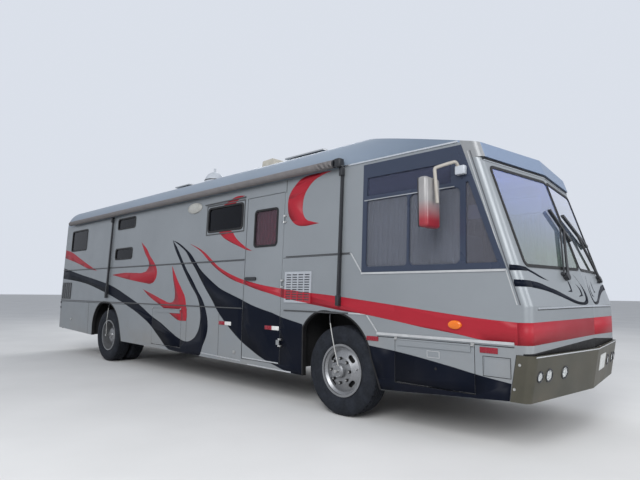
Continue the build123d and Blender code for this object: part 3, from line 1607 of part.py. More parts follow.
# Engine, gearbox, propeller shaft, tanks and exhaust below the floor
ENGINE_REAR_GAP = 190.0
ENGINE_W = 640.0
ENGINE_H = 540.0
ENGINE_Z = 645.0
GEARBOX_LENGTH = 525.0
GEARBOX_Z = 600.0
SHAFT_RUN = 540.0
SHAFT_R = 45.0
engine_rear_x = BODY_REAR_X + WALL + ENGINE_REAR_GAP
gearbox_front_x = REAR_AXLE_X - SHAFT_RUN
engine_front_x = gearbox_front_x - GEARBOX_LENGTH
shaft_end_x = REAR_AXLE_X - BANJO_R + 30
with BuildPart() as engine:
    with Locations(((engine_rear_x + engine_front_x) / 2, 0, ENGINE_Z)):
        Box(engine_front_x - engine_rear_x, ENGINE_W, ENGINE_H)
    fillet(engine.edges().filter_by(Axis.X), radius=60)
    bell_x = (engine_front_x + gearbox_front_x) / 2
    with Locations(Location((bell_x, 0, GEARBOX_Z), (0, 90, 0))):
        Cone(215, 120, GEARBOX_LENGTH)
    shaft_x = (gearbox_front_x + shaft_end_x) / 2
    with Locations(Location((shaft_x, 0, GEARBOX_Z - 20), (0, 90, 0))):
        Cylinder(SHAFT_R, shaft_end_x - gearbox_front_x)
    with Locations((REAR_AXLE_X, 0, WHEEL_Z)):
        Cylinder(BANJO_R + SEAT_GAP, 230, rotation=(90, 0, 0), mode=Mode.SUBTRACT)
save(engine, "engine_and_gearbox")

TANKS = ((-3000.0, 740.0, 1300.0, 480.0, 420.0), (-2910.0, -760.0, 1060.0, 420.0, 380.0))
with BuildPart() as tanks:
    for where, middle_y, length, width, height in TANKS:
        with Locations((station(where), middle_y, CHASSIS_RAIL_Z[1] - height / 2)):
            Box(length, width, height)
    fillet(tanks.edges().filter_by(Axis.X), radius=70)
save(tanks, "fuel_and_water_tanks")

# Cab interior: seats, dash, steering wheel and the cabinet behind the passenger
with BuildPart() as seats:
    for side in (-1, 1):
        seat_x = station(950)
        seat_y = side * 700
        with Locations((seat_x, seat_y, FLOOR_Z + 170)):
            Box(380, 380, 340)
        with Locations((seat_x, seat_y, FLOOR_Z + 400)):
            Box(520, 520, 120)
        with BuildSketch(Plane.XZ.offset(-seat_y - 250)):
            with BuildLine():
                Polyline(
                    (seat_x - 250, FLOOR_Z + 380),
                    (seat_x - 130, FLOOR_Z + 380),
                    (seat_x - 230, FLOOR_Z + 1080),
                    (seat_x - 340, FLOOR_Z + 1080),
                    close=True,
                )
            make_face()
        extrude(amount=500)
save(seats, "cab_seats")

DASH_REAR = FRONT_OVERHANG - 780.0
DASH_FRONT = FRONT_OVERHANG - 290.0
with BuildPart() as dash:
    with BuildSketch(Plane.XZ.offset(-1150)):
        with BuildLine():
            Polyline(
                (station(DASH_REAR + 120), FLOOR_Z),
                (station(DASH_FRONT), FLOOR_Z),
                (station(DASH_FRONT), 1400),
                (station(DASH_FRONT - 50), 1560),
                (station(DASH_REAR), 1600),
                (station(DASH_REAR + 40), 1420),
                close=True,
            )
        make_face()
    extrude(amount=2300)
save(dash, "dashboard")

STEERING_TILT = 25.0
STEERING_HUB = (DASH_REAR - 208.0, 700.0, 1720.0)
STEERING_R = 225.0
COLUMN_R = 30.0
with BuildPart() as steering_wheel:
    hub_station, hub_y, hub_z = STEERING_HUB
    hub_place = Location((station(hub_station), hub_y, hub_z), (0, -STEERING_TILT, 0))
    with Locations(hub_place):
        Torus(STEERING_R - 15, 15)
        Cylinder(60, 40)
        Box(2 * STEERING_R - 30, 40, 16)
        with Locations((0, 0, -400)):
            Cylinder(COLUMN_R, 800)
    split(bisect_by=Plane.XY.offset(FLOOR_Z), keep=Keep.TOP)
save(steering_wheel, "steering_wheel")

with BuildPart() as cabinet:
    add(box((station(340), station(400)), (-1120, -450), (FLOOR_Z, 2450)))
    add(wheel_box_block(-1, WHEEL_BOXES[0], 0.0, 0.0, WHEEL_BOX_TOP_Z), mode=Mode.SUBTRACT)
save(cabinet, "cab_partition")
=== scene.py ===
"""Looks of a motorhome on a rear-engined bus chassis: paint, stripes, glass, tyres, trim and cab."""

import math
from collections import defaultdict
from functools import reduce

import bmesh
import bpy
from bpy.props import FloatProperty, FloatVectorProperty, IntProperty, PointerProperty
from bpy.types import Operator, Panel, PropertyGroup
from mathutils import Matrix, Vector


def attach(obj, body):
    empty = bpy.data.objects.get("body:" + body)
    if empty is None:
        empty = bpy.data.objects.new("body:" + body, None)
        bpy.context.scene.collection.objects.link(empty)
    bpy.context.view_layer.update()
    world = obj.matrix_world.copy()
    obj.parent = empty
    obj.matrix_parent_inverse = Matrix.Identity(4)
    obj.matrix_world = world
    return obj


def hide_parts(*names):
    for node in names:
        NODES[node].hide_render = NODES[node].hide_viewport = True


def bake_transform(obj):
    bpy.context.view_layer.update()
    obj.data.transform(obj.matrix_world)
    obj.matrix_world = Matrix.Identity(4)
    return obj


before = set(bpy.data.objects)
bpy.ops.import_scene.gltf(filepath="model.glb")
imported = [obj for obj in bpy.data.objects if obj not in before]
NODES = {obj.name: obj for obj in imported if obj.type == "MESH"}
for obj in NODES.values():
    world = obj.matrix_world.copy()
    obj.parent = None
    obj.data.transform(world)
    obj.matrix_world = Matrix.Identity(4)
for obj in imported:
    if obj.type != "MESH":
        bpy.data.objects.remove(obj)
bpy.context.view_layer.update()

bl_info = {
    "name": "Motorhome finisher",
    "version": (1, 0, 0),
    "blender": (4, 5, 0),
    "location": "3D View > Sidebar > Motorhome",
    "description": "Paints and trims a motorhome whose panels come from its CAD frame",
    "category": "Object",
}

SIDES = (("right", -1), ("left", 1))

# Places that the CAD gives, in metres
HALF_WIDTH = 1.25
BEND_Z = 1.15
WALL_LEAN = 0.036
BODY_REAR_X = -5.535
PANEL_Z = 3.3225
DOME_Z = 3.316
AWNING_Y = -1.256
AWNING_Z = 2.924
FLOOR_Z = 1.1
CAB_REAR_X = 3.45
CAB_BAR_Z = 2.42
PILLAR_X = 4.77
NOSE_X = 5.56
KNEE_Z = 1.29
FRONT_VEE = 0.116
FRONT_RAKE = 0.32
CORNER_ROUND = 0.07
BUMPER_STEP = 0.035
BUMPER_TOP_Z = 0.87
BUMPER_TUCK = 0.17
BUMPER_SIDE_Y = 1.258
FRONT_AXLE_X = 3.22
REAR_AXLE_X = -2.99
WHEEL_Y = 1.0825
WHEEL_Z = 0.505
TWIN_PITCH = 0.315
BOLT_CIRCLE_R = 0.1375
BOLTS = 8
# Boxes are two X, then two Z
DOOR = (1.42, 2.22, 0.47, 2.72)
DOOR_LEAF = (1.434, 2.214, 0.476, 2.712)
FLAPS = (
    ("front", (4.01, 4.90, 0.48, 0.92)),
    ("middle", (-1.13, -0.18, 0.48, 1.09)),
)
FLAP_SIDE_GAP = 0.006
FLAP_LOW_GAP = 0.010
RUBBER_INSET = 0.014

# Side windows: side, then X and Z from edge to edge
WINDOW_HOLES = (
    (-1, (-5.175, -4.285, 2.27, 2.75)),
    (-1, (-2.790, -2.030, 2.59, 2.82)),
    (-1, (-2.810, -2.070, 1.99, 2.22)),
    (-1, (0.430, 1.330, 2.29, 2.69)),
    (1, (-5.175, -4.285, 2.27, 2.75)),
    (1, (-2.810, -2.070, 1.99, 2.22)),
    (1, (-1.180, -0.080, 2.19, 2.69)),
    (1, (0.820, 2.220, 2.19, 2.69)),
)
# Lower edge of the skirts, X and Z
SKIRT_FOOT = (
    (-5.53, 0.530), (-2.98, 0.445), (-0.58, 0.420), (3.22, 0.380), (3.84, 0.380), (5.20, 0.470),
)

# Painted shapes on the side, as outlines of X and Z
BLACK_LOOP = (
    (-5.52, 1.90), (-4.53, 1.74), (-3.43, 1.58), (-2.84, 1.48), (-2.06, 1.27), (-1.60, 1.13),
    (-1.14, 0.95), (-0.82, 0.85), (-0.51, 0.73), (-0.25, 0.64), (-0.04, 0.60), (0.14, 0.63),
    (0.30, 0.75), (0.37, 0.92), (0.36, 1.10), (0.29, 1.26), (0.03, 1.51), (-0.15, 1.69),
    (-0.33, 1.89), (-0.55, 2.15), (-0.60, 2.25), (-0.45, 2.12), (-0.25, 1.90), (-0.09, 1.73),
    (0.09, 1.57), (0.25, 1.41), (0.43, 1.24), (0.52, 1.10), (0.58, 0.89), (0.56, 0.74),
    (0.47, 0.58), (0.36, 0.40), (-0.53, 0.43), (-0.90, 0.63), (-1.20, 0.80), (-1.58, 0.95),
    (-2.07, 1.10), (-2.51, 1.21), (-3.39, 1.40), (-4.20, 1.54), (-5.52, 1.655),
)
BLACK_SWEEP = (
    (-0.60, 2.25), (-0.40, 2.19), (-0.17, 2.08), (-0.01, 1.99), (0.16, 1.85), (0.29, 1.74),
    (0.47, 1.63), (0.66, 1.53), (0.85, 1.44), (1.11, 1.36), (1.36, 1.29), (1.59, 1.22),
    (1.85, 1.16), (2.06, 1.12), (2.25, 1.07), (2.44, 1.035), (2.633, 1.00), (2.633, 0.384),
    (2.37, 0.40), (2.14, 0.45), (1.87, 0.52), (1.61, 0.62), (1.39, 0.72), (1.17, 0.85),
    (1.05, 0.93), (0.89, 1.05), (0.78, 1.15), (0.67, 1.26), (0.50, 1.41), (0.33, 1.57),
    (0.17, 1.73), (-0.01, 1.89), (-0.16, 2.03), (-0.36, 2.14),
)
BLACK_FRONT = (
    (3.640, 0.83), (4.07, 0.79), (4.64, 0.71), (4.94, 0.66), (5.235, 0.622),
    (5.214, 0.472), (4.60, 0.427), (3.824, 0.382), (3.703, 0.685),
)
RED_HOOKS = (
    (
        (-2.88, 1.70), (-2.31, 1.73), (-1.90, 1.72), (-1.59, 1.72), (-1.44, 1.76), (-1.38, 1.85),
        (-1.43, 1.95), (-1.55, 2.06), (-1.74, 2.29), (-1.51, 2.15), (-1.37, 2.02), (-1.21, 1.90),
        (-1.10, 1.79), (-1.07, 1.69), (-1.12, 1.58), (-1.25, 1.52), (-1.48, 1.53), (-1.87, 1.57),
        (-2.29, 1.62),
    ),
    (
        (-1.54, 1.42), (-1.08, 1.31), (-0.79, 1.24), (-0.52, 1.20), (-0.43, 1.24), (-0.41, 1.31),
        (-0.44, 1.44), (-0.51, 1.61), (-0.57, 1.82), (-0.48, 1.71), (-0.35, 1.56), (-0.20, 1.41),
        (-0.10, 1.30), (-0.05, 1.17), (-0.01, 1.00), (-0.03, 0.92), (-0.27, 0.92), (-0.37, 0.95),
        (-0.60, 1.04), (-0.88, 1.15), (-1.25, 1.28),
    ),
    (
        (-5.52, 2.33), (-5.14, 2.26), (-4.62, 2.10), (-4.14, 1.95), (-3.63, 1.80), (-4.12, 1.86),
        (-4.71, 1.99), (-5.52, 2.14),
    ),
    (
        (3.05, 2.872), (2.88, 2.875), (2.67, 2.873), (2.52, 2.85), (2.41, 2.78), (2.32, 2.69),
        (2.28, 2.59), (2.28, 2.49), (2.30, 2.40), (2.37, 2.31), (2.46, 2.25), (2.59, 2.225),
        (2.74, 2.23), (2.86, 2.24), (2.74, 2.27), (2.63, 2.31), (2.57, 2.40), (2.56, 2.50),
        (2.59, 2.63), (2.64, 2.70), (2.73, 2.78), (2.85, 2.83),
    ),
    (
        (0.74, 2.286), (1.05, 2.286), (1.18, 2.17), (1.30, 2.09), (1.43, 2.02), (1.57, 1.96),
        (1.45, 1.98), (1.24, 2.05), (1.04, 2.12), (0.86, 2.20),
    ),
    ((0.82, 2.695), (0.98, 2.75), (1.14, 2.79), (1.34, 2.78), (1.20, 2.74), (1.13, 2.695)),
)
RED_BAND = (
    (-0.06, 2.16), (0.16, 2.09), (0.27, 2.05), (0.42, 1.98), (0.60, 1.87), (0.77, 1.77),
    (0.96, 1.69), (1.21, 1.61), (1.45, 1.55), (1.61, 1.52), (1.82, 1.485), (2.19, 1.44),
    (2.57, 1.40), (3.08, 1.36), (3.54, 1.315), (4.07, 1.26), (4.54, 1.21), (4.96, 1.17),
    (5.30, 1.148), (5.30, 0.952), (5.14, 0.96), (4.95, 0.98), (4.75, 1.01), (4.54, 1.035),
    (4.32, 1.06), (4.08, 1.095), (3.82, 1.13), (3.63, 1.155), (3.25, 1.19), (2.93, 1.23),
    (2.58, 1.27), (2.30, 1.31), (2.00, 1.37), (1.74, 1.42), (1.45, 1.49), (1.21, 1.545),
    (0.96, 1.63), (0.69, 1.755), (0.49, 1.875), (0.27, 2.02),
)
# Painted shapes on the hood, as Y and Z of the right half
HOOD_SHAPES = (
    (
        (-1.085, 1.515), (-0.95, 1.50), (-0.80, 1.465), (-0.65, 1.43), (-0.50, 1.385), (-0.34, 1.34),
        (-0.24, 1.325), (-0.16, 1.33), (-0.115, 1.36), (-0.10, 1.42), (-0.11, 1.48), (-0.15, 1.55),
        (-0.20, 1.60), (-0.135, 1.53), (-0.075, 1.45), (-0.06, 1.38), (-0.085, 1.325), (-0.14, 1.302),
        (-0.24, 1.298), (-0.36, 1.31), (-0.50, 1.345), (-0.66, 1.385), (-0.82, 1.42), (-0.97, 1.442),
        (-1.10, 1.455),
    ),
    (
        (-1.085, 1.635), (-0.98, 1.60), (-0.88, 1.565), (-0.75, 1.52), (-0.88, 1.545), (-0.99, 1.58),
        (-1.09, 1.61),
    ),
    ((-0.37, 1.54), (-0.345, 1.50), (-0.35, 1.42), (-0.44, 1.425), (-0.37, 1.44), (-0.37, 1.50)),
    ((-0.22, 1.50), (-0.155, 1.45), (-0.15, 1.385), (-0.25, 1.375), (-0.18, 1.40), (-0.18, 1.45)),
)
SHARP_TURN = math.radians(62)
# How far a paint film lies off the wall, and how far the sweep does that lies over another film
FILM_LIFT = 0.0010
SECOND_FILM_LIFT = 0.0018


def wall_y(z):
    """Half width of the body's outer face at a height."""
    return HALF_WIDTH - WALL_LEAN * max(z - BEND_Z, 0.0)


def front_x(y, z):
    """X of the vee front's outer face."""
    return NOSE_X - FRONT_VEE * abs(y) - FRONT_RAKE * max(z - KNEE_Z, 0.0)


# Finishes


class Nodes:
    """Short calls that add nodes to a node tree."""

    def __init__(self, tree):
        self.tree = tree

    def put(self, socket, value):
        """Link another socket to an input, or set the input to a value or a colour."""
        if isinstance(value, bpy.types.NodeSocket):
            self.tree.links.new(value, socket)
        elif socket.type == "RGBA":
            socket.default_value = (*value[:3], 1.0)
        else:
            socket.default_value = value

    def fill(self, node, inputs):
        """Put values into a node's inputs, in whose names an underscore stands for a space."""
        for name, value in inputs.items():
            self.put(node.inputs[name.replace("_", " ")], value)
        return node

    def add(self, kind, **inputs):
        """A new node of a kind, with its inputs filled."""
        return self.fill(self.tree.nodes.new(f"ShaderNode{kind}"), inputs)

    def remap(self, value, low, high, to_low=0.0, to_high=1.0):
        """Value carried from one range to another and held there."""
        span = {"From_Min": low, "From_Max": high, "To_Min": to_low, "To_Max": to_high}
        return self.add("MapRange", Value=value, **span).outputs["Result"]

    def calc(self, operation, first, second=0.0):
        """One maths step on two values or sockets."""
        node = self.add("Math")
        node.operation = operation
        self.put(node.inputs[0], first)
        self.put(node.inputs[1], second)
        return node.outputs["Value"]

    def within(self, *ranges):
        """1 where every value lies between its two limits, None being no limit, and 0 elsewhere."""
        tests = [
            self.calc(test, value, limit)
            for value, *limits in ranges
            for test, limit in zip(("GREATER_THAN", "LESS_THAN"), limits)
            if limit is not None
        ]
        return reduce(lambda one, two: self.calc("MULTIPLY", one, two), tests)

    def mix(self, factor, first, second):
        """Mix of two colours, each a socket or a plain colour."""
        node = self.add("Mix")
        node.data_type = "RGBA"
        self.put(node.inputs["Factor"], factor)
        for socket in node.inputs:
            if socket.type == "RGBA":
                self.put(socket, first if socket.name == "A" else second)
        return next(socket for socket in node.outputs if socket.type == "RGBA")


class Finish(Nodes):
    """A material that is built up on the object's own coordinates."""

    def __init__(self, name):
        self.material = bpy.data.materials.new(name)
        self.material.use_nodes = True
        super().__init__(self.material.node_tree)
        self.where = self.add("TexCoord").outputs["Object"]
        self.x, self.y, self.z = self.add("SeparateXYZ", Vector=self.where).outputs

    def noise(self, scale, detail=3.0, stretch=None):
        """Noise factor, its pattern stretched along the axes where asked."""
        where = self.where
        if stretch is not None:
            where = self.add("Mapping", Vector=where, Scale=stretch).outputs["Vector"]
        return self.add("TexNoise", Vector=where, Scale=scale, Detail=detail).outputs["Fac"]

    def wear(self, scale, detail, low=0.3, high=0.7):
        """Noise that runs from 0 to 1 between two of its levels."""
        return self.remap(self.noise(scale, detail), low, high)

    def rough(self, value, low, high):
        """Roughness between two limits from a factor of 0 to 1."""
        return self.remap(value, 0.0, 1.0, low, high)

    def done(self, colour, roughness, bump=None, **inputs):
        """The material, from colour, roughness, bump as height, strength and distance, and the rest."""
        if bump is not None:
            values = dict(zip(("Height", "Strength", "Distance"), bump))
            inputs["Normal"] = self.add("Bump", **values).outputs["Normal"]
        inputs.update(Base_Color=colour, Roughness=roughness)
        self.fill(self.tree.nodes["Principled BSDF"], inputs)
        return self.material


DUST = (0.30, 0.25, 0.19)
# Near black of the painted shade in the gaps and inside the skirts
GAP_SHADE_COLOUR = (0.006, 0.006, 0.007)
CAP_TONE = (0.138, 0.176, 0.230)
# Bluer tone of the visor that is a painted reflection of the sky
VISOR_SKY_REFLECTION = (0.172, 0.227, 0.328)
VISOR_SIDE_TONE = (0.225, 0.232, 0.240)
CAB_TOP_GLASS = (0.165, 0.185, 0.290)
PILLAR_GLASS = (0.30, 0.305, 0.355)


def shade(colour, amount):
    """A colour made darker or lighter by a factor."""
    return tuple(min(channel * amount, 1.0) for channel in colour[:3])


def sprayed(look, colour):
    """Faintly mottled paint: its factor, its colour and its peel as a bump."""
    mottle = look.wear(0.9, 4.0, 0.35, 0.65)
    base = look.mix(mottle, shade(colour, 0.95), shade(colour, 1.04))
    return mottle, base, (look.noise(420.0, 2.0), 0.05, 0.0006)


def painted(name, colour, metallic=0.0, roughness=0.35, dust=0.5, shine=0.5, coat=0.0, paint_gap_shade=False):
    """Sprayed paint with road dust towards the ground and, where asked, painted shade: near black on
    faces below the bend that lie inboard of the side skins, such as gap walls and the skirts' insides.
    """
    look = Finish(name)
    _, base, peel = sprayed(look, colour)
    low = look.remap(look.z, 1.2, 0.35, 0.0, dust)
    film = look.calc("MULTIPLY", low, look.wear(2.6, 6.0, 0.35, 0.75))
    base = look.mix(film, base, DUST)
    if paint_gap_shade:
        across = look.calc("ABSOLUTE", look.y)
        # Painted shade: faces below the bend that lie inboard of the side skins, such as the walls of
        # the gaps round doors and flaps, are coloured near black
        behind = look.within(
            (across, None, HALF_WIDTH - 0.0025), (look.z, None, BEND_Z - 0.003), (look.x, -5.54, 5.20)
        )
        base = look.mix(behind, base, GAP_SHADE_COLOUR)
    grain = look.remap(look.noise(3.0), 0.3, 0.7, roughness - 0.04, roughness + 0.05)
    return look.done(
        base, look.calc("ADD", grain, film), peel,
        Metallic=metallic, Coat_Weight=coat, Coat_Roughness=0.14, Specular_IOR_Level=shine,
    )


def roof_paint(colour):
    """Pale roof paint, deeper in tone on the sloping cap, with a painted reflection of the sky as a
    bluer tone on the visor and plain silver on the visor's sides.
    """
    look = Finish("pale_roof_paint")
    mottle, base, peel = sprayed(look, colour)
    base = look.mix(look.remap(look.x, 3.10, 4.30), base, CAP_TONE)
    # Painted reflection of the sky: the visor is given a bluer tone
    base = look.mix(look.remap(look.x, 4.70, 4.78), base, VISOR_SKY_REFLECTION)
    side = look.within((look.calc("ABSOLUTE", look.y), 1.150, None), (look.x, 4.755, None))
    base = look.mix(side, base, VISOR_SIDE_TONE)
    return look.done(base, look.rough(mottle, 0.38, 0.46), peel, Metallic=0.2)


def hose_finish():
    """Pale hose, painted near black at its top end where it runs up into the shade of the wheel arch."""
    look = Finish("grey_hose")
    wear = look.wear(20.0, 4.0)
    base = look.mix(wear, (0.33, 0.33, 0.32), (0.42, 0.42, 0.41))
    # Painted shade: near black above a height, where the hose is under the wheel arch
    base = look.mix(look.remap(look.z, 1.035, 1.045), base, (0.014, 0.015, 0.018))
    return look.done(base, look.rough(wear, 0.42, 0.58), (look.noise(300.0), 0.2, 0.0006))


def plain_plastic(name, colour, roughness=0.45, grain=900.0, depth=0.12):
    """Moulded plastic with a fine grain and slight fading."""
    look = Finish(name)
    base = look.mix(look.wear(6.0, 4.0, 0.35, 0.65), shade(colour, 0.88), shade(colour, 1.1))
    rough = look.remap(look.noise(30.0), 0.3, 0.7, roughness - 0.05, roughness + 0.08)
    return look.done(base, rough, (look.noise(grain, 2.0), depth, 0.0008))


def bare_metal(name, colour, roughness=0.3, brush=(1.0, 40.0, 40.0), metallic=1.0):
    """Brushed or cast metal with streaky roughness."""
    look = Finish(name)
    streak = look.noise(22.0, 4.0, brush)
    base = look.mix(look.remap(streak, 0.3, 0.7), shade(colour, 0.85), shade(colour, 1.08))
    rough = look.remap(streak, 0.3, 0.7, roughness - 0.07, roughness + 0.1)
    return look.done(base, rough, (streak, 0.08, 0.0005), Metallic=metallic)


def clear_glass(name, colour, transmission, roughness=0.02, bending=1.5, cab_colour=None):
    """Window glass, with other tints for the cab's panes where asked."""
    look = Finish(name)
    smear = look.wear(2.2, 5.0, 0.45, 0.75)
    base = look.mix(smear, colour, shade(colour, 0.93))
    if cab_colour is not None:
        base = look.mix(look.within((look.x, CAB_REAR_X, None)), base, CAB_TOP_GLASS)
        base = look.mix(look.within((look.x, PILLAR_X, None)), base, PILLAR_GLASS)
        low_panes = look.within((look.x, CAB_REAR_X, PILLAR_X), (look.z, None, CAB_BAR_Z))
        base = look.mix(low_panes, base, cab_colour)
    rough = look.rough(smear, roughness, roughness + 0.04)
    return look.done(base, rough, Transmission_Weight=transmission, IOR=bending)


def screen_glass():
    """Pale windscreen glass with a painted reflection, sky blue towards its top and tree green towards
    its foot.
    """
    look = Finish("windscreen_glass")
    smear = look.wear(1.8, 5.0, 0.4, 0.75)
    # Painted reflection: blue of the sky at the top, green of the trees at the foot
    base = look.mix(look.remap(look.z, 1.75, 2.55), (0.28, 0.36, 0.28), (0.40, 0.50, 0.98))
    base = look.mix(look.calc("MULTIPLY", smear, 0.4), base, (0.34, 0.40, 0.52))
    return look.done(
        base, look.rough(smear, 0.01, 0.04),
        Transmission_Weight=0.74, IOR=1.5, Coat_Weight=1.0, Coat_IOR=1.75,
    )


def woven(name, colour, second, scale=260.0, sheen=0.3, folded_from=None):
    """Cloth with warp and weft threads, lying in slanting folds ahead of an X where asked."""
    look = Finish(name)
    threads = []
    for direction in ("X", "Z"):
        wave = look.add("TexWave", Vector=look.where, Scale=scale, Distortion=0.6)
        wave.bands_direction = direction
        threads.append(wave.outputs["Fac"])
    weave = look.calc("MULTIPLY", *threads)
    slub = look.wear(12.0, 5.0)
    base = look.mix(slub, colour, second)
    base = look.mix(look.rough(weave, 0.0, 0.35), base, shade(second, 0.7))
    bump = (weave, 0.35, 0.0012)
    if folded_from is not None:
        slant = [(look.x, 85.0), (look.z, 55.0), (look.noise(7.0), 9.0)]
        slant = [look.calc("MULTIPLY", value, amount) for value, amount in slant]
        folds = look.calc("SINE", reduce(lambda one, two: look.calc("ADD", one, two), slant))
        folds = look.calc("MULTIPLY", folds, look.remap(look.x, folded_from, folded_from + 0.12))
        bump = (folds, 0.9, 0.010)
    return look.done(base, look.rough(slub, 0.75, 0.92), bump, Sheen_Weight=sheen)


def rubbery(name, colour, roughness=0.75, dust=0.35, bloom_colour=(0.16, 0.145, 0.125)):
    """Black rubber with a dusty bloom."""
    look = Finish(name)
    bloom = look.remap(look.noise(9.0, 6.0), 0.42, 0.78, 0.0, dust)
    rough = look.remap(look.noise(40.0), 0.3, 0.7, roughness - 0.1, roughness + 0.1)
    bump = (look.noise(700.0, 3.0), 0.2, 0.0008)
    return look.done(look.mix(bloom, colour, bloom_colour), rough, bump, Specular_IOR_Level=0.3)


def red_crossing(name, colour, red, rear_of, rear_colour):
    """Trim paint that turns red under the long side band and has another colour to the rear."""
    look = Finish(name)
    top = look.calc("SUBTRACT", look.z, look.remap(look.x, 2.19, 5.0, 1.44, 1.168))
    foot = look.calc("SUBTRACT", look.z, look.remap(look.x, 2.30, 3.63, 1.31, 1.155))
    band = look.within((top, None, 0.0), (foot, 0.0, None), (look.x, 2.1, None))
    wear = look.wear(14.0, 4.0)
    base = look.mix(wear, shade(colour, 0.9), shade(colour, 1.05))
    base = look.mix(look.within((look.x, None, rear_of)), base, rear_colour)
    bump = (look.noise(500.0), 0.08, 0.0006)
    return look.done(look.mix(band, base, red), look.rough(wear, 0.32, 0.45), bump)


def mirror_shell_paint(red):
    """Mirror shell sprayed silver above and red below, one fading into the other."""
    look = Finish("two_tone_mirror_paint")
    wear = look.wear(10.0, 4.0)
    upper = look.mix(wear, (0.205, 0.200, 0.200), (0.250, 0.244, 0.244))
    base = look.mix(look.remap(look.z, 2.27, 2.08), upper, shade(red, 0.8))
    bump = (look.noise(400.0), 0.05, 0.0005)
    return look.done(base, look.rough(wear, 0.28, 0.4), bump, Coat_Weight=0.4)


FINISHES = {}


def make_finishes(colours):
    """Every finish of the vehicle, by its plain name."""
    red = tuple(colours.stripe_red)
    FINISHES.update(
        silver=painted("silver_coach_paint", colours.body_silver, 0.30, 0.42, 0.3, 0.5, 0.12, True),
        roof=roof_paint(colours.roof_blue),
        red=painted("red_stripe_film", red, 0.0, 0.46, 0.1, 0.25),
        black=painted("black_stripe_film", colours.stripe_black, 0.0, 0.42, 0.02, 0.07),
        bumper=painted("charcoal_bumper_paint", colours.bumper_grey, 0.2, 0.42, 0.2, 0.4),
        chassis=painted("chassis_enamel", (0.022, 0.022, 0.024), 0.0, 0.55, 0.5, 0.3),
        window_frame=painted("black_window_frame_paint", (0.020, 0.029, 0.054), 0.0, 0.3, 0.0),
        mirror_shell=mirror_shell_paint(red),
        grille=red_crossing("louvre_paint", (0.34, 0.36, 0.39), red, 0.0, (0.012, 0.013, 0.015)),
        moulding=red_crossing("pale_moulding", (0.40, 0.41, 0.42), red, 3.38, (0.040, 0.041, 0.043)),
        tyre=rubbery("tyre_rubber", (0.0070, 0.0088, 0.0130), 0.82, 0.22, (0.045, 0.053, 0.075)),
        seal=rubbery("window_rubber", (0.008, 0.008, 0.009), 0.55, 0.06),
        seam=rubbery("seam_shadow", (0.010, 0.010, 0.011), 0.8, 0.05),
        soft_seam=rubbery("shaded_joint", (0.022, 0.023, 0.025), 0.8, 0.0),
        hose=hose_finish(),
        wheel=bare_metal("worn_silver_rim", (0.25, 0.255, 0.265), 0.36, (3.0, 3.0, 3.0), 0.7),
        bright_strip=bare_metal("polished_strip", (0.72, 0.74, 0.76), 0.22),
        aluminium=bare_metal("brushed_aluminium", (0.50, 0.51, 0.52), 0.34),
        chrome=bare_metal("lamp_chrome", (0.80, 0.81, 0.82), 0.12, (6.0, 6.0, 6.0)),
        steel=bare_metal("zinc_plated_steel", (0.50, 0.50, 0.49), 0.38, (8.0, 8.0, 8.0)),
        tread_plate=bare_metal("step_tread_plate", (0.5, 0.5, 0.5), 0.4, (10.0, 10.0, 10.0)),
        mirror=bare_metal("mirror_glass", (0.85, 0.87, 0.88), 0.03, (2.0, 2.0, 2.0)),
        smoked=clear_glass(
            "smoked_window_glass", (0.010, 0.012, 0.022), 0.80, 0.02, 1.2, (0.335, 0.358, 0.42),
        ),
        door_glass=clear_glass("door_window_glass", (0.34, 0.22, 0.28), 0.88, 0.02, 1.25),
        lens_clear=clear_glass("clear_lamp_lens", (0.80, 0.82, 0.82), 0.7, 0.08),
        screen=screen_glass(),
        black_trim=plain_plastic("black_trim_plastic", (0.012, 0.013, 0.016), 0.42),
        liner=plain_plastic("wheel_box_sheet", (0.012, 0.012, 0.013), 0.7, 200.0, 0.4),
        white_plastic=plain_plastic("grey_white_roof_plastic", (0.42, 0.45, 0.49), 0.4),
        vent=plain_plastic("beige_vent_plastic", (0.40, 0.38, 0.33), 0.5),
        louvre_dark=plain_plastic("louvre_shadow", (0.075, 0.080, 0.090), 0.7),
        mirror_tube=plain_plastic("beige_tube_paint", (0.30, 0.28, 0.25), 0.4),
        lens_orange=plain_plastic("orange_lamp_lens", (0.72, 0.16, 0.008), 0.2, 160.0, 0.3),
        lens_red=plain_plastic("red_reflector", (0.21, 0.005, 0.016), 0.25, 260.0, 0.4),
        lens_white=plain_plastic("white_reflector", (0.60, 0.60, 0.59), 0.3, 260.0, 0.4),
        porch_lens=plain_plastic("porch_lamp_lens", (0.33, 0.33, 0.31), 0.3, 120.0, 0.4),
        panel=plain_plastic("dark_panel_glass", (0.012, 0.014, 0.022), 0.2, 80.0, 0.05),
        floor=plain_plastic("cabin_floor_board", (0.20, 0.13, 0.08), 0.4, 60.0, 0.2),
        dash=plain_plastic("dashboard_plastic", (0.035, 0.035, 0.038), 0.55, 500.0, 0.3),
        lining=plain_plastic("cabin_lining", (0.30, 0.27, 0.23), 0.6, 300.0, 0.2),
        plate=plain_plastic("blank_plate", (0.50, 0.51, 0.50), 0.4),
        seat=woven("seat_cloth", (0.10, 0.095, 0.09), (0.17, 0.16, 0.15)),
        curtain=woven("grey_curtain_cloth", (0.30, 0.28, 0.25), (0.38, 0.36, 0.33)),
        red_curtain=woven("dark_red_curtain_cloth", (0.17, 0.006, 0.014), (0.22, 0.012, 0.022)),
        awning=woven("awning_vinyl", (0.115, 0.107, 0.108), (0.15, 0.14, 0.14), 120.0, 0.05, 2.82),
    )


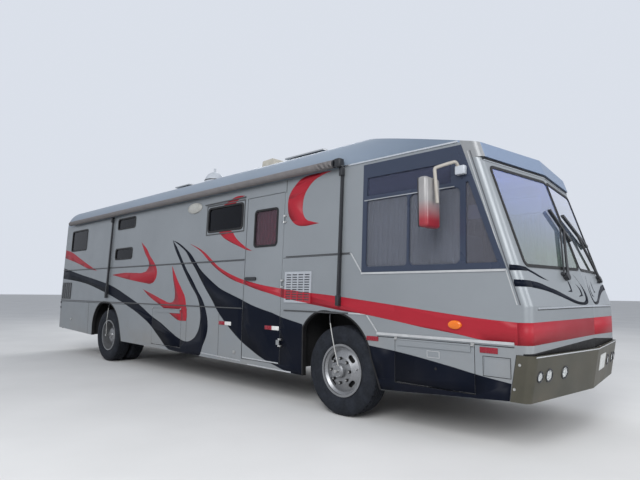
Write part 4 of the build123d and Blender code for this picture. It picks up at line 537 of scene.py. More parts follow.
NODE_FINISHES = {
    "silver": (
        "left_wall", "right_wall", "left_skirt", "right_skirt", "rear_wall", "front_mask",
        "entry_door", "left_front_flap", "right_front_flap", "left_middle_flap",
        "right_middle_flap", "engine_hatch",
    ),
    "roof": ("roof", "roof_cap"),
    "bumper": ("bumpers",),
    "chassis": (
        "chassis_frame", "chassis_cross_members", "front_axle", "rear_axle", "leaf_springs",
        "left_knuckle", "right_knuckle", "engine_and_gearbox", "fuel_and_water_tanks",
    ),
    "moulding": ("side_mouldings",),
    "mirror_tube": ("mirror_arms",),
    "black_trim": ("awning_arms", "wipers", "entry_door_handle"),
    "window_frame": ("cab_window_frames",),
    "liner": ("wheel_boxes",),
    "steel": ("panel_hinges",),
    "seal": ("window_seals", "entry_door_seal"),
    "tyre": ("left_front_tyre", "right_front_tyre", "left_rear_tyres", "right_rear_tyres"),
    "wheel": ("left_front_rim", "right_front_rim", "left_rear_rims", "right_rear_rims"),
    "smoked": ("side_windows",),
    "door_glass": ("entry_door_window",),
    "screen": ("windscreen",),
    "white_plastic": ("roof_dome",),
    "vent": ("roof_vent",),
    "grille": ("side_grilles",),
    "lens_clear": ("bumper_lamps",),
    "lens_orange": ("body_lamps",),
    "lens_red": ("side_reflectors",),
    "mirror_shell": ("mirror_heads",),
    "awning": ("awning_roller",),
    "panel": ("solar_panel",),
    "floor": ("floor",),
    "lining": ("cab_partition",),
    "tread_plate": ("entry_steps",),
    "dash": ("dashboard", "steering_wheel"),
    "seat": ("cab_seats",),
}


# Mesh helpers


def finish_piece(name, bm, finish, body="coach", hides=(), sharp=35.0):
    """Turn a bmesh into a piece that rides on a body."""
    mesh = bpy.data.meshes.new(name)
    bm.normal_update()
    bm.to_mesh(mesh)
    bm.free()
    mesh.materials.append(FINISHES[finish])
    mesh.polygons.foreach_set("use_smooth", [True] * len(mesh.polygons))
    mesh.set_sharp_from_angle(angle=math.radians(sharp))
    piece = bpy.data.objects.new(name, mesh)
    bpy.context.scene.collection.objects.link(piece)
    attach(piece, body)
    if hides:
        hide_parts(*hides)
    return piece


def closed_normals(bm):
    """Turn every face of closed shells outwards."""
    bmesh.ops.recalc_face_normals(bm, faces=bm.faces[:])


def closed_pieces(*rows):
    """Pieces from closed meshes: mesh, name and finish, then body, nodes hidden and sharp angle."""
    pieces = []
    for bm, name, *rest in rows:
        closed_normals(bm)
        pieces.append(finish_piece(name, bm, *rest))
    return pieces


def new_meshes(count):
    """Some empty bmeshes."""
    return [bmesh.new() for _ in range(count)]


def thicken(piece, thickness=None):
    """Give an open sheet its thickness, which is a film's where none is given."""
    wall = piece.modifiers.new("Sheet", "SOLIDIFY")
    wall.thickness = bpy.context.scene.coach_sizes.film if thickness is None else thickness
    wall.offset = -1.0


def join_part(bm, part):
    """Add one bmesh to another and free it."""
    mesh = bpy.data.meshes.new("part")
    part.to_mesh(mesh)
    part.free()
    bm.from_mesh(mesh)
    bpy.data.meshes.remove(mesh)


def block(bm, low, high, radius=0.0, segments=2):
    """Add a bevelled block between two corners."""
    made = bmesh.ops.create_cube(bm, size=1.0)["verts"]
    bmesh.ops.scale(bm, verts=made, vec=Vector(high) - Vector(low))
    bmesh.ops.translate(bm, verts=made, vec=(Vector(high) + Vector(low)) / 2)
    if radius > 0:
        bmesh.ops.bevel(
            bm, geom=list({edge for vert in made for edge in vert.link_edges}), offset=radius,
            offset_type="OFFSET", segments=segments, profile=0.5, affect="EDGES", material=-1,
            clamp_overlap=True,
        )


def disc(bm, centre, axis, radius, depth, sides=24):
    """Add a closed cylinder along an axis."""
    turn = Vector((0, 0, 1)).rotation_difference(Vector(axis)).to_matrix().to_4x4()
    bmesh.ops.create_cone(
        bm, cap_ends=True, segments=sides, radius1=radius, radius2=radius, depth=depth,
        matrix=Matrix.Translation(centre) @ turn,
    )


def turned(bm, profile, centre, axis, steps=48):
    """Add a solid of revolution from points of radius and distance along an axis."""
    axis = Vector(axis).normalized()
    out = axis.orthogonal().normalized()
    verts = [bm.verts.new(Vector(centre) + out * radius + axis * along) for radius, along in profile]
    edges = [bm.edges.new(pair) for pair in zip(verts, verts[1:])]
    bmesh.ops.spin(
        bm, geom=verts + edges, cent=Vector(centre), axis=axis, dvec=(0, 0, 0),
        angle=math.tau, steps=steps, use_merge=True, use_duplicate=False,
    )
    bmesh.ops.remove_doubles(bm, verts=bm.verts[:], dist=1e-5)


def ring_of_discs(bm, centre_x, circle, y, radius, depth, sides, side):
    """Add a ring of short cylinders, one for each wheel bolt."""
    for number in range(BOLTS):
        angle = math.tau * number / BOLTS
        spot = (centre_x + circle * math.cos(angle), side * y, WHEEL_Z + circle * math.sin(angle))
        disc(bm, spot, (0, side, 0), radius, depth, sides)


def mesh_of_curve(curve):
    """Mesh of a curve that no object needs afterwards."""
    holder = bpy.data.objects.new(curve.name, curve)
    mesh = bpy.data.meshes.new_from_object(holder)
    bpy.data.objects.remove(holder)
    return mesh


def route_mesh(points, kind="NURBS", radius=0.0, sides=4):
    """Mesh of a curve through some points: a round bar, or the bare line if it has no radius."""
    curve = bpy.data.curves.new("route", "CURVE")
    curve.dimensions = "3D"
    curve.bevel_depth = radius
    curve.bevel_resolution = sides
    curve.use_fill_caps = True
    curve.resolution_u = 8
    spline = curve.splines.new(kind)
    spline.points.add(len(points) - 1)
    for point, place in zip(spline.points, points):
        point.co = (*place, 1.0)
    if kind == "NURBS":
        spline.order_u = 3
        spline.use_endpoint_u = True
    return mesh_of_curve(curve)


def tube(name, points, radius, finish, sides=4, kind="NURBS", hides=()):
    """Round bar or hose through some points."""
    bm = bmesh.new()
    bm.from_mesh(route_mesh(points, kind, radius, sides))
    bmesh.ops.remove_doubles(bm, verts=bm.verts[:], dist=1e-6)
    return closed_pieces((bm, name, finish, "coach", hides))[0]


def outline_sheet(name, points, resolution=5):
    """Flat face inside a smooth closed outline, its sharp tips kept."""
    curve = bpy.data.curves.new(name, "CURVE")
    curve.dimensions = "3D"
    curve.resolution_u = resolution
    spline = curve.splines.new("BEZIER")
    spline.bezier_points.add(len(points) - 1)
    spots = [Vector(place) for place in points]
    around = zip(spots[-1:] + spots, spots, spots[1:] + spots)
    for (before, here, after), point in zip(around, spline.bezier_points):
        turn = (here - before).angle(after - here, 0.0)
        point.co = here
        point.handle_left_type = point.handle_right_type = "VECTOR" if turn > SHARP_TURN else "AUTO"
    spline.use_cyclic_u = True
    bm = bmesh.new()
    bm.from_mesh(mesh_of_curve(curve))
    bmesh.ops.remove_doubles(bm, verts=bm.verts[:], dist=1e-5)
    made = bmesh.ops.contextual_create(bm, geom=bm.edges[:])
    bmesh.ops.triangulate(bm, faces=made["faces"], ngon_method="EAR_CLIP")
    return bm


def cut_all(bm, axis, places):
    """Cut every face along planes square to an axis, keeping both sides."""
    normal = Vector((0, 0, 0))
    normal[axis] = 1.0
    for place in places:
        bmesh.ops.bisect_plane(
            bm, geom=bm.verts[:] + bm.edges[:] + bm.faces[:], dist=1e-6,
            plane_co=normal * place, plane_no=normal,
        )


def face_outwards(bm, outwards):
    """Turn an open sheet so that its faces look along a direction."""
    bm.normal_update()
    bmesh.ops.reverse_faces(bm, faces=[face for face in bm.faces if face.normal.dot(outwards) < 0])


def shrunk(box, side_gap, low_gap):
    """A box made smaller at its sides and top by one gap, and at its foot by another."""
    rear, front, low, high = box
    return (rear + side_gap, front - side_gap, low + low_gap, high - side_gap)


def openings_of(name, side):
    """Openings in a side and the leaves that fill them, each with the body it rides on."""
    found = [(DOOR, DOOR_LEAF, "door_leaf")] if side < 0 else []
    for flap, hole in FLAPS:
        found.append((hole, shrunk(hole, FLAP_SIDE_GAP, FLAP_LOW_GAP), f"{name}_{flap}_locker"))
    for window_side, window in WINDOW_HOLES:
        if window_side == side:
            no_leaf = (window[0], window[0], window[2], window[2])
            found.append((shrunk(window, RUBBER_INSET, RUBBER_INSET), no_leaf, "coach"))
    return found


def skirt_foot(x):
    """Height of the skirt's lower edge at an X."""
    for (rear, low), (front, high) in zip(SKIRT_FOOT, SKIRT_FOOT[1:]):
        if x <= front:
            return low + (high - low) * max(x - rear, 0.0) / (front - rear)
    return SKIRT_FOOT[-1][1]


def inside(box, x, z):
    """True where a point lies in a box of two X and two Z."""
    return box[0] < x < box[1] and box[2] < z < box[3]


def on_body(name, body):
    """A piece's name, with its body where that isn't the coach."""
    return name if body == "coach" else f"{name}_on_{body}"


def side_film(side_name, side, label, points, finish, lift):
    """Paint film on a side wall, parted where a door or flap is, each part on its own body."""
    name = f"{side_name}_{label}"
    bm = outline_sheet(name, [(x, side * HALF_WIDTH, z) for x, z in points])
    cut_all(bm, 2, [BEND_Z])
    openings = openings_of(side_name, side)
    for hole, leaf, _ in openings:
        for box in (hole, leaf):
            cut_all(bm, 0, box[:2])
            cut_all(bm, 2, box[2:])
    bm.faces.index_update()
    owners = {}
    for face in bm.faces:
        centre = face.calc_center_median()
        owner = "coach"
        for hole, leaf, body in openings:
            if inside(leaf, centre.x, centre.z):
                owner = body
            elif inside(hole, centre.x, centre.z):
                owner = None
        owners.setdefault(owner, set()).add(face.index)
    for vert in bm.verts:
        vert.co.z = max(vert.co.z, skirt_foot(vert.co.x) + 0.001)
        vert.co.y = side * (wall_y(vert.co.z) + lift)
    face_outwards(bm, Vector((0, side, 0)))
    owners.pop(None, None)
    for body, kept in owners.items():
        part = bm.copy()
        spare = [face for face in part.faces if face.index not in kept]
        bmesh.ops.delete(part, geom=spare, context="FACES")
        thicken(finish_piece(on_body(name, body), part, finish, body, sharp=0.5))
    bm.free()


def hood_film(name, points, side):
    """Black film on one raked facet of the front."""
    bm = outline_sheet(name, [(NOSE_X, abs(y) * side, z) for y, z in points])
    for vert in bm.verts:
        vert.co.x = front_x(vert.co.y, vert.co.z) + FILM_LIFT
    face_outwards(bm, Vector((1, 0, 0)))
    thicken(finish_piece(name, bm, "black", sharp=0.5))


def corner_path(z, start_x, end_y, steps=14):
    """Points in X and Y at a height, from the right side round the corner to the front, with normals."""
    span = math.sqrt(1 + FRONT_VEE**2)
    facing = math.atan2(-FRONT_VEE, 1.0)
    ridge_x = NOSE_X - FRONT_RAKE * max(z - KNEE_Z, 0.0)
    centre_y = -(wall_y(z) - CORNER_ROUND)
    centre_x = ridge_x + FRONT_VEE * centre_y - CORNER_ROUND * span
    path = [(Vector((start_x, -wall_y(z))), Vector((0, -1)))]
    for step in range(steps + 1):
        angle = -math.pi / 2 + (facing + math.pi / 2) * step / steps
        normal = Vector((math.cos(angle), math.sin(angle)))
        path.append((Vector((centre_x, centre_y)) + CORNER_ROUND * normal, normal))
    end = Vector((ridge_x - FRONT_VEE * end_y, -end_y))
    path.append((end, Vector((math.cos(facing), math.sin(facing)))))
    return path


def corner_band(name, side, start_x, end_y, start, end, finish):
    """Band round a front corner, from its low and high edges at its start and at its end."""
    base = corner_path(start[0], start_x, end_y)
    run = [0.0]
    for (here, _), (there, _) in zip(base, base[1:]):
        run.append(run[-1] + (there - here).length)
    bm = bmesh.new()
    bmesh.ops.create_grid(bm, x_segments=len(base) - 1, y_segments=1, size=0.5)
    columns = sorted(bm.verts, key=lambda vert: (round(vert.co.x, 5), vert.co.y))
    for index, gone in enumerate(run):
        share = gone / run[-1]
        for vert, first, last in zip(columns[2 * index:2 * index + 2], start, end):
            z = first + (last - first) * share
            place, normal = corner_path(z, start_x, end_y)[index]
            spot = place + FILM_LIFT * normal
            vert.co = Vector((spot.x, -side * spot.y, z))
    closed_normals(bm)
    face_outwards(bm, Vector((0.5, 0.5 * side, 0)))
    thicken(finish_piece(name, bm, finish, sharp=40))


def on_side(side):
    """Places on a side wall, from X, Z and how far out."""
    return lambda x, z, out: Vector((x, side * (wall_y(z) + out), z))


def on_front(side):
    """Places on a raked facet or the nose, from how far from the middle, Z and how far out."""
    return lambda y, z, out: Vector((front_x(y, z) + out, side * y, z))


def on_bumper(side):
    """Places on the bumper's front, from how far from the middle, Z and how far out."""
    return lambda y, z, out: Vector(
        (NOSE_X + BUMPER_STEP - FRONT_VEE * y + BUMPER_TUCK * (z - BUMPER_TOP_Z) + out, side * y, z)
    )


def over_front(spot, lift):
    """Place ahead of the front's outer face, from Y and Z."""
    return Vector((front_x(*spot) + lift, *spot))


def bar(bm, place, start, end, width, proud, sunk=0.0005):
    """Add a straight bar between two points of a face, standing proud of it."""
    first, last = Vector(start), Vector(end)
    across = Vector((first.y - last.y, last.x - first.x)).normalized() * (width / 2)
    for vert in bmesh.ops.create_cube(bm, size=2.0)["verts"]:
        spot = (first if vert.co.x < 0 else last) + across * vert.co.y
        vert.co = place(spot.x, spot.y, proud if vert.co.z > 0 else -sunk)


def hoop(bm, place, box, width, proud):
    """Add four bars round a box of two places along and two heights."""
    rear, front, low, high = box
    half = width / 2
    for start, end in (
        ((rear, high), (front, high)), ((rear, low), (front, low)),
        ((rear + half, low + half), (rear + half, high - half)),
        ((front - half, low + half), (front - half, high - half)),
    ):
        bar(bm, place, start, end, width, proud)


# Properties that a user would change


class CoachColours(PropertyGroup):
    """Colours of the painted parts."""

    body_silver: FloatVectorProperty(
        name="Body silver", description="Metallic paint of the walls and nose", subtype="COLOR",
        size=3, min=0.0, max=1.0, default=(0.222, 0.240, 0.256),
    )
    roof_blue: FloatVectorProperty(
        name="Roof blue-grey", description="Paint of the roof and its front cap", subtype="COLOR",
        size=3, min=0.0, max=1.0, default=(0.215, 0.262, 0.325),
    )
    stripe_red: FloatVectorProperty(
        name="Stripe red", description="Red of the stripes and hooks", subtype="COLOR",
        size=3, min=0.0, max=1.0, default=(0.300, 0.0118, 0.023),
    )
    stripe_black: FloatVectorProperty(
        name="Stripe black", description="Black of the sweeps", subtype="COLOR",
        size=3, min=0.0, max=1.0, default=(0.0026, 0.0044, 0.0105),
    )
    bumper_grey: FloatVectorProperty(
        name="Bumper charcoal", description="Paint of the bumpers", subtype="COLOR",
        size=3, min=0.0, max=1.0, default=(0.047, 0.0455, 0.033),
    )


class CoachSizes(PropertyGroup):
    """Sizes of the trim that Blender adds."""

    film: FloatProperty(
        name="Film thickness", description="Thickness of the stripe films",
        default=0.0008, min=0.0002, max=0.003, unit="LENGTH", precision=4,
    )
    tread_depth: FloatProperty(
        name="Tread depth", description="Depth of the grooves round a tyre",
        default=0.012, min=0.004, max=0.02, unit="LENGTH", precision=3,
    )
    tyre_steps: IntProperty(
        name="Tyre steps", description="Faces round each tyre", default=96, min=32, max=160,
    )
    hose_radius: FloatProperty(
        name="Hose radius", description="Radius of the tyre inflation hoses",
        default=0.006, min=0.003, max=0.012, unit="LENGTH", precision=3,
    )


# Wheel arches: axle X, then X from the axle and Z of foot, shoulder, arc middle, crown and so on down
ARCHES = (
    (FRONT_AXLE_X, (
        (-0.585, 0.385), (-0.585, 0.960), (-0.470, 1.090), (-0.110, 1.165),
        (0.290, 1.035), (0.480, 0.700), (0.606, 0.385),
    )),
    (REAR_AXLE_X, (
        (-0.680, 0.468), (-0.680, 0.690), (-0.515, 1.020), (-0.090, 1.165),
        (0.370, 1.015), (0.570, 0.750), (0.693, 0.425),
    )),
)
# Straight strips and seams on both sides: start and end as X and Z, width, proud, finish, body; the dark
# line just under the bend is painted shadow
SIDE_LINES = (
    ((3.21, 2.889), (4.735, 2.889), 0.016, 0.011, "bright_strip", "coach"),
    ((3.575, 2.430), (4.700, 2.438), 0.010, 0.009, "aluminium", "coach"),
    ((4.862, 2.775), (5.331, 1.300), 0.010, 0.0035, "louvre_dark", "coach"),
    ((4.836, 2.775), (5.303, 1.300), 0.008, 0.0035, "moulding", "coach"),
    # Painted shadow: a dark line under the moulding at the bend
    ((-5.520, 1.1325), (-1.806, 1.1325), 0.008, 0.0012, "soft_seam", "coach"),
    ((-5.520, 1.831), (1.410, 1.831), 0.005, 0.0012, "soft_seam", "coach"),
    ((2.230, 1.831), (3.380, 1.831), 0.005, 0.0012, "soft_seam", "coach"),
    ((3.785, 0.932), (5.270, 0.932), 0.008, 0.0012, "soft_seam", "coach"),
    ((0.865, 1.135), (0.865, 0.460), 0.005, 0.0012, "soft_seam", "coach"),
    ((-3.90, 1.135), (-3.90, 0.480), 0.005, 0.0012, "soft_seam", "coach"),
    ((-0.02, 1.135), (-0.02, 0.470), 0.005, 0.0012, "soft_seam", "coach"),
)
LEFT_LINES = (
    ((1.410, 1.831), (2.230, 1.831), 0.005, 0.0012, "soft_seam", "coach"),
    # Painted shadow: a dark line under the moulding at the bend
    ((1.400, 1.135), (2.600, 1.135), 0.005, 0.0012, "soft_seam", "coach"),
)
RIGHT_LINES = (
    ((1.560, 0.409), (2.440, 0.400), 0.015, 0.004, "bright_strip", "coach"),
    ((2.245, 2.700), (2.245, 2.868), 0.006, 0.004, "moulding", "coach"),
    ((0.345, 2.744), (1.375, 2.754), 0.016, 0.016, "moulding", "coach"),
    ((0.420, 0.462), (1.405, 0.440), 0.012, 0.004, "bright_strip", "coach"),
    ((1.450, 0.492), (2.195, 0.486), 0.014, 0.004, "bright_strip", "door_leaf"),
    # Painted shade: a dark sheet behind the grille's louvres
    ((2.300, 1.455), (2.760, 1.455), 0.380, 0.0012, "louvre_dark", "coach"),
    ((4.402, 0.801), (4.528, 0.801), 0.050, 0.0040, "silver", "right_front_locker"),
)
# Window frames, flap outlines and the like on the right side: box, width, proud, finish, body
RIGHT_HOOPS = (
    ((0.395, 1.365, 2.262, 2.716), 0.016, 0.006, "moulding", "coach"),
    ((4.975, 5.235, 0.662, 0.836), 0.005, 0.0012, "seam", "coach"),
    ((4.983, 5.227, 0.670, 0.828), 0.008, 0.0030, "silver", "coach"),
    ((4.395, 4.535, 0.772, 0.832), 0.006, 0.0050, "moulding", "right_front_locker"),
)
# Bands round the front corners: name, start X, end Y, low and high edge at start and at end, finish
CORNER_BANDS = (
    ("red_nose", 5.30, 0.0, (0.952, 1.148), (1.00, 1.168), "red"),
    # Painted shadow: a dark band in the gap between the nose and the bumper
    ("nose_gap", 5.345, 0.0, (0.8725, 0.884), (0.8725, 0.966), "seam"),
    ("pillar_bar", 5.235, 1.080, (1.604, 1.658), (1.603, 1.638), "black"),
    ("pillar_stripe", 5.275, 1.080, (1.462, 1.524), (1.456, 1.516), "black"),
)
# Straight lines on each half of the front: finish, start and end as Y and Z, width, proud; the dark
# lines under the knee's ledge and under the visor are painted shadow
FRONT_LINES = (
    ("bright_strip", (1.120, 1.271), (0.0, 1.285), 0.014, 0.0055),
    # Painted shadow under the ledge at the knee
    ("soft_seam", (1.120, 1.258), (0.0, 1.272), 0.006, 0.0012),
    # Painted shadow: a dark band under the visor's edge
    ("soft_seam", (1.170, 2.690), (0.0, 2.690), 0.034, 0.0030),
    ("bright_strip", (1.160, 2.668), (0.0, 2.668), 0.008, 0.0060),
)
# X and Z of the right side's latches and of the bumper's side bolts, Z of the rear corners' studs
LATCHES = ((1.256, 0.546), (-4.843, 0.743))
BUMPER_BOLTS = ((5.315, 0.790), (5.262, 0.580))
REAR_STUDS_Z = (1.105, 0.993)
# Wipers as Y and Z: pivot, tip of the arm, top and foot of the blade
WIPERS = (
    ((-0.393, 1.567), (-0.104, 2.060), (-0.244, 2.270), (-0.030, 1.950)),
    ((0.900, 1.567), (0.480, 2.093), (0.060, 2.240), (0.860, 1.960)),
)
# X from end to end of the flat roof panels, Y of the mirrors, steps of an arc on a wheel arch
ROOF_PANELS = ((-1.340, -0.840), (1.740, 2.520))
MIRROR_Y = 1.470
ARC_STEPS = 14
# Half of a tyre's section as radius and distance from the middle, then its tread, where 1 is a
# groove's floor
TYRE_WALL = (
    (0.2865, 0.088), (0.299, 0.101), (0.306, 0.108), (0.318, 0.113), (0.330, 0.122), (0.334, 0.1245),
    (0.338, 0.1250), (0.360, 0.1310), (0.385, 0.1365), (0.400, 0.1373), (0.404, 0.1375),
    (0.408, 0.1368), (0.430, 0.1360), (0.450, 0.1335), (0.454, 0.1322), (0.468, 0.1280),
    (0.482, 0.1205), (0.492, 0.1120), (0.4985, 0.1040), (0.5010, 0.0960), (0.5025, 0.0800),
)
TYRE_TREAD = (
    (0.5030, 0.0720, 0), (0.5030, 0.0700, 1), (0.5030, 0.0640, 1), (0.5040, 0.0620, 0),
    (0.5045, 0.0400, 0), (0.5045, 0.0380, 1), (0.5045, 0.0310, 1), (0.5048, 0.0290, 0),
    (0.5050, 0.0080, 0), (0.5050, 0.0060, 1),
)
SHOULDER_R = 0.499
SHOULDER_Y = (0.078, 0.105)
LUGS = 48
# Wheel faces: end, body, axle X, Y of the face, Y of the hub cap, radius of the cap's bolt circle,
# Y and depth of the dark discs of painted shade in the nuts' seats
WHEEL_FACES = (
    ("front", "front_wheel", FRONT_AXLE_X, 1.197, 1.2655, 0.062, 1.2055, 0.022),
    ("rear", "rear_wheels", REAR_AXLE_X, 0.953, 1.1475, 0.045, 0.9620, 0.024),
)
# Sections of turned pieces, as radius and distance along the axis
DOME_BASE = ((0.150, 0.0), (0.176, 0.0), (0.176, 0.014), (0.168, 0.018), (0.150, 0.018))
# Dark plate of painted shade behind a front wheel's vents
VENT_SHADE_PLATE = ((0.100, 0.040), (0.235, 0.040), (0.235, 0.046), (0.100, 0.046), (0.100, 0.040))
RIM_CONE = (
    (0.2850, 0.094), (0.2848, 0.098), (0.2500, 0.0655), (0.2420, 0.0665), (0.2420, 0.058),
    (0.2850, 0.094),
)
OVAL_DOME = (
    (0.0, 0.0), (1.0, 0.0), (1.0, 0.008), (0.93, 0.018), (0.7, 0.025), (0.35, 0.0275), (0.0, 0.028),
)
TAIL_LENS = ((0.0, 0.001), (0.056, 0.001), (0.056, 0.014), (0.050, 0.020), (0.03, 0.023), (0.0, 0.0238))
TAIL_RING = ((0.0565, 0.001), (0.0565, 0.016), (0.0600, 0.017), (0.0620, 0.012), (0.0620, 0.001))
# Routes of the two hoses that the photo shows, from the wheel arch to the hub
FRONT_HOSE = [
    (FRONT_AXLE_X - 0.130, -1.225, 1.160), (FRONT_AXLE_X - 0.126, -1.258, 1.140),
    (FRONT_AXLE_X - 0.105, -1.272, 1.040), (FRONT_AXLE_X - 0.020, -1.286, 0.740),
    (FRONT_AXLE_X + 0.035, -1.280, WHEEL_Z + 0.060),
]
REAR_HOSE = [
    (REAR_AXLE_X + 0.100, -1.225, 1.150), (REAR_AXLE_X + 0.100, -1.250, 1.120),
    (REAR_AXLE_X + 0.090, -1.262, 1.000), (REAR_AXLE_X + 0.040, -1.262, 0.720),
    (REAR_AXLE_X, -1.235, WHEEL_Z),
]
# Bumper lamps: how far from the middle and radius, all at one height; and Y and Z of the tail lamps
BUMPER_LAMPS = ((1.130, 0.042), (0.970, 0.052), (0.680, 0.052))
BUMPER_LAMP_Z = 0.69
TAIL_LAMP_Y = 1.06
TAIL_LAMPS_Z = (0.86, 1.01, 1.16)
# Reflectors: X from end to end, Z from foot to top, and True where the front half is white
REFLECTORS = (
    (3.64, 3.80, 0.881, 0.929, False), (4.95, 5.12, 0.864, 0.916, False),
    (1.92, 2.20, 0.899, 0.951, True), (0.87, 1.17, 0.909, 0.961, True),
)
# Curtains: name, side, X from end to end, Z from foot to top, how far inside the wall
CURTAINS = (
    ("right_cab", -1, 3.62, 4.72, 1.64, 2.46, 0.105),
    ("right_rear", -1, -5.20, -4.26, 2.22, 2.80, 0.095),
    ("left_cab", 1, 3.62, 4.72, 1.64, 2.46, 0.105),
    ("left_rear", 1, -5.20, -4.26, 2.22, 2.80, 0.095),
    ("right_small", -1, -2.84, -2.02, 1.94, 2.27, 0.095),
    ("right_upper", -1, -2.82, -2.00, 2.54, 2.86, 0.095),
    ("left_small", 1, -2.84, -2.02, 1.94, 2.27, 0.095),
    ("left_long", 1, -1.22, -0.04, 2.14, 2.74, 0.095),
    ("left_front", 1, 0.78, 2.26, 2.14, 2.74, 0.095),
    ("big_window", -1, 0.40, 1.36, 2.24, 2.74, 0.095),
)
CLOTH_THICKNESS = 0.0015
PLEAT_STEP = 0.012
PLEAT_DEPTH = 0.012
SEAT_X = 4.17
SEAT_Y = 0.70
# Soft square lamps: name, place, what it looks at, side and power
LAMPS = (
    ("key_lamp", (9.0, -13.0, 9.5), (0.5, 0.0, 1.2), 9.0, 2100.0),
    ("front_lamp", (17.0, 1.0, 6.5), (3.0, 0.0, 1.4), 8.0, 900.0),
    ("back_lamp", (-9.0, 11.0, 8.0), (-1.0, 0.0, 1.5), 9.0, 900.0),
)
SKY_COLOUR = (0.86, 0.91, 1.0)
SKY_LIGHT = 0.55
SKY_SEEN = 0.82
# The photo's camera: place, yaw, pitch and roll in degrees, focal length for a 36 mm sensor
CAMERA_PLACE = (7.122, -5.609, 1.388)
CAMERA_TURN = (43.97, 5.99, 0.608)
SENSOR_WIDTH = 36.0
FOCAL_LENGTH = 28.28


# Operators, one for each group of like pieces


class COACH_OT_paint(Operator):
    """Give every CAD panel and part its finish"""

    bl_idname = "coach.paint"
    bl_label = "Paint the panels"

    def execute(self, context):
        make_finishes(context.scene.coach_colours)
        for finish, names in NODE_FINISHES.items():
            for name in names:
                node = NODES[name]
                if not node.material_slots:
                    node.data.materials.append(FINISHES[finish])
                for holder in node.material_slots:
                    holder.material = FINISHES[finish]
        return {"FINISHED"}


class COACH_OT_stripes(Operator):
    """Lay the black sweeps and red bands on the walls, doors, flaps and nose, and a band of painted
    shadow in the gap under the nose
    """

    bl_idname = "coach.stripes"
    bl_label = "Lay the stripes"

    def execute(self, context):
        for name, side in SIDES:
            side_film(name, side, "black_loop", BLACK_LOOP, "black", FILM_LIFT)
            side_film(name, side, "black_sweep", BLACK_SWEEP, "black", SECOND_FILM_LIFT)
            side_film(name, side, "black_front", BLACK_FRONT, "black", FILM_LIFT)
            for number, hook in enumerate(RED_HOOKS):
                side_film(name, side, f"red_hook_{number}", hook, "red", FILM_LIFT)
            side_film(name, side, "red_band", RED_BAND, "red", FILM_LIFT)
            for label, *band in CORNER_BANDS:
                corner_band(f"{name}_{label}", side, *band)
            for number, shape in enumerate(HOOD_SHAPES):
                hood_film(f"{name}_hood_stripe_{number}", shape, side)
        return {"FINISHED"}


class COACH_OT_trim(Operator):
    """Lay the seams, strips and small fittings on the sides, front, roof and bumper"""

    bl_idname = "coach.trim"
    bl_label = "Fit the trim"

    def execute(self, context):
        side_trim()
        front_trim()
        roof_trim()
        mirrors()
        arch_lips()
        wiper_arms()
        return {"FINISHED"}


def side_trim():
    """Seams, strips, frames, latches and lock on the sides, with painted shadow under the moulding at
    the bend and painted shade behind the grille's louvres.
    """
    parts = defaultdict(bmesh.new)
    rows = [(side, row) for _, side in SIDES for row in SIDE_LINES]
    rows += [(1, row) for row in LEFT_LINES] + [(-1, row) for row in RIGHT_LINES]
    for side, (start, end, width, proud, finish, body) in rows:
        bar(parts[finish, body], on_side(side), start, end, width, proud)
    for box, width, proud, finish, body in RIGHT_HOOPS:
        hoop(parts[finish, body], on_side(-1), box, width, proud)
    lock = parts["seam", "right_front_locker"]
    disc(lock, (4.49, -HALF_WIDTH, 0.668), (0, 1, 0), 0.013, 0.008, 16)
    for x, z in LATCHES:
        low = (x - 0.025, -HALF_WIDTH - 0.010, z - 0.020)
        block(parts["steel", "coach"], low, (x + 0.025, -HALF_WIDTH + 0.001, z + 0.020), 0.003)
    for _, side in SIDES:
        for z in REAR_STUDS_Z:
            spot = (-5.500, side * (HALF_WIDTH + 0.004), z)
            disc(parts["black_trim", "coach"], spot, (0, 1, 0), 0.022, 0.012, 20)
    closed_pieces(*(
        (bm, on_body(f"side_lines_in_{finish}", body), finish, body)
        for (finish, body), bm in parts.items()
    ))


def front_trim():
    """Ledge under the knee with a painted shadow line below it, visor lines with a band of painted
    shadow under the visor, bumper lip, bolts and a blank plate.
    """
    finishes = ("soft_seam", "bright_strip", "plate", "steel")
    parts = dict(zip(finishes, new_meshes(len(finishes))))
    for _, side in SIDES:
        for finish, start, end, width, proud in FRONT_LINES:
            bar(parts[finish], on_front(side), start, end, width, proud)
        bar(parts["bright_strip"], on_bumper(side), (1.235, 0.862), (0.0, 0.862), 0.010, 0.0020)
        for x, z in BUMPER_BOLTS:
            disc(parts["steel"], (x, side * (BUMPER_SIDE_Y + 0.002), z), (0, 1, 0), 0.012, 0.008, 14)
    bar(parts["plate"], on_bumper(1), (0.170, 0.705), (0.500, 0.705), 0.160, 0.004)
    closed_pieces(*((bm, f"front_lines_in_{finish}", finish) for finish, bm in parts.items()))


def wiper_arms():
    """Thick arms, second links and blades over the slim wipers, and their spindle caps."""
    caps = bmesh.new()
    for number, (pivot, tip, high, low) in enumerate(WIPERS):
        shifted = (pivot[0] - 0.045, pivot[1] + 0.030)
        beside = (tip[0] - 0.035, tip[1] + 0.035)
        for label, start, start_lift, end, end_lift, radius in (
            ("arm", pivot, 0.030, tip, 0.036, 0.013),
            ("link", shifted, 0.024, beside, 0.030, 0.008),
            ("blade", high, 0.022, low, 0.022, 0.012),
        ):
            points = [over_front(start, start_lift), over_front(end, end_lift)]
            tube(f"wiper_{label}_{number}", points, radius, "black_trim", 3, "POLY")
        disc(caps, over_front(pivot, 0.022), (1, 0, FRONT_RAKE), 0.034, 0.040, 24)
        disc(caps, over_front(shifted, 0.014), (1, 0, FRONT_RAKE), 0.018, 0.028, 16)
    closed_pieces((caps, "wiper_spindle_caps", "black_trim"))


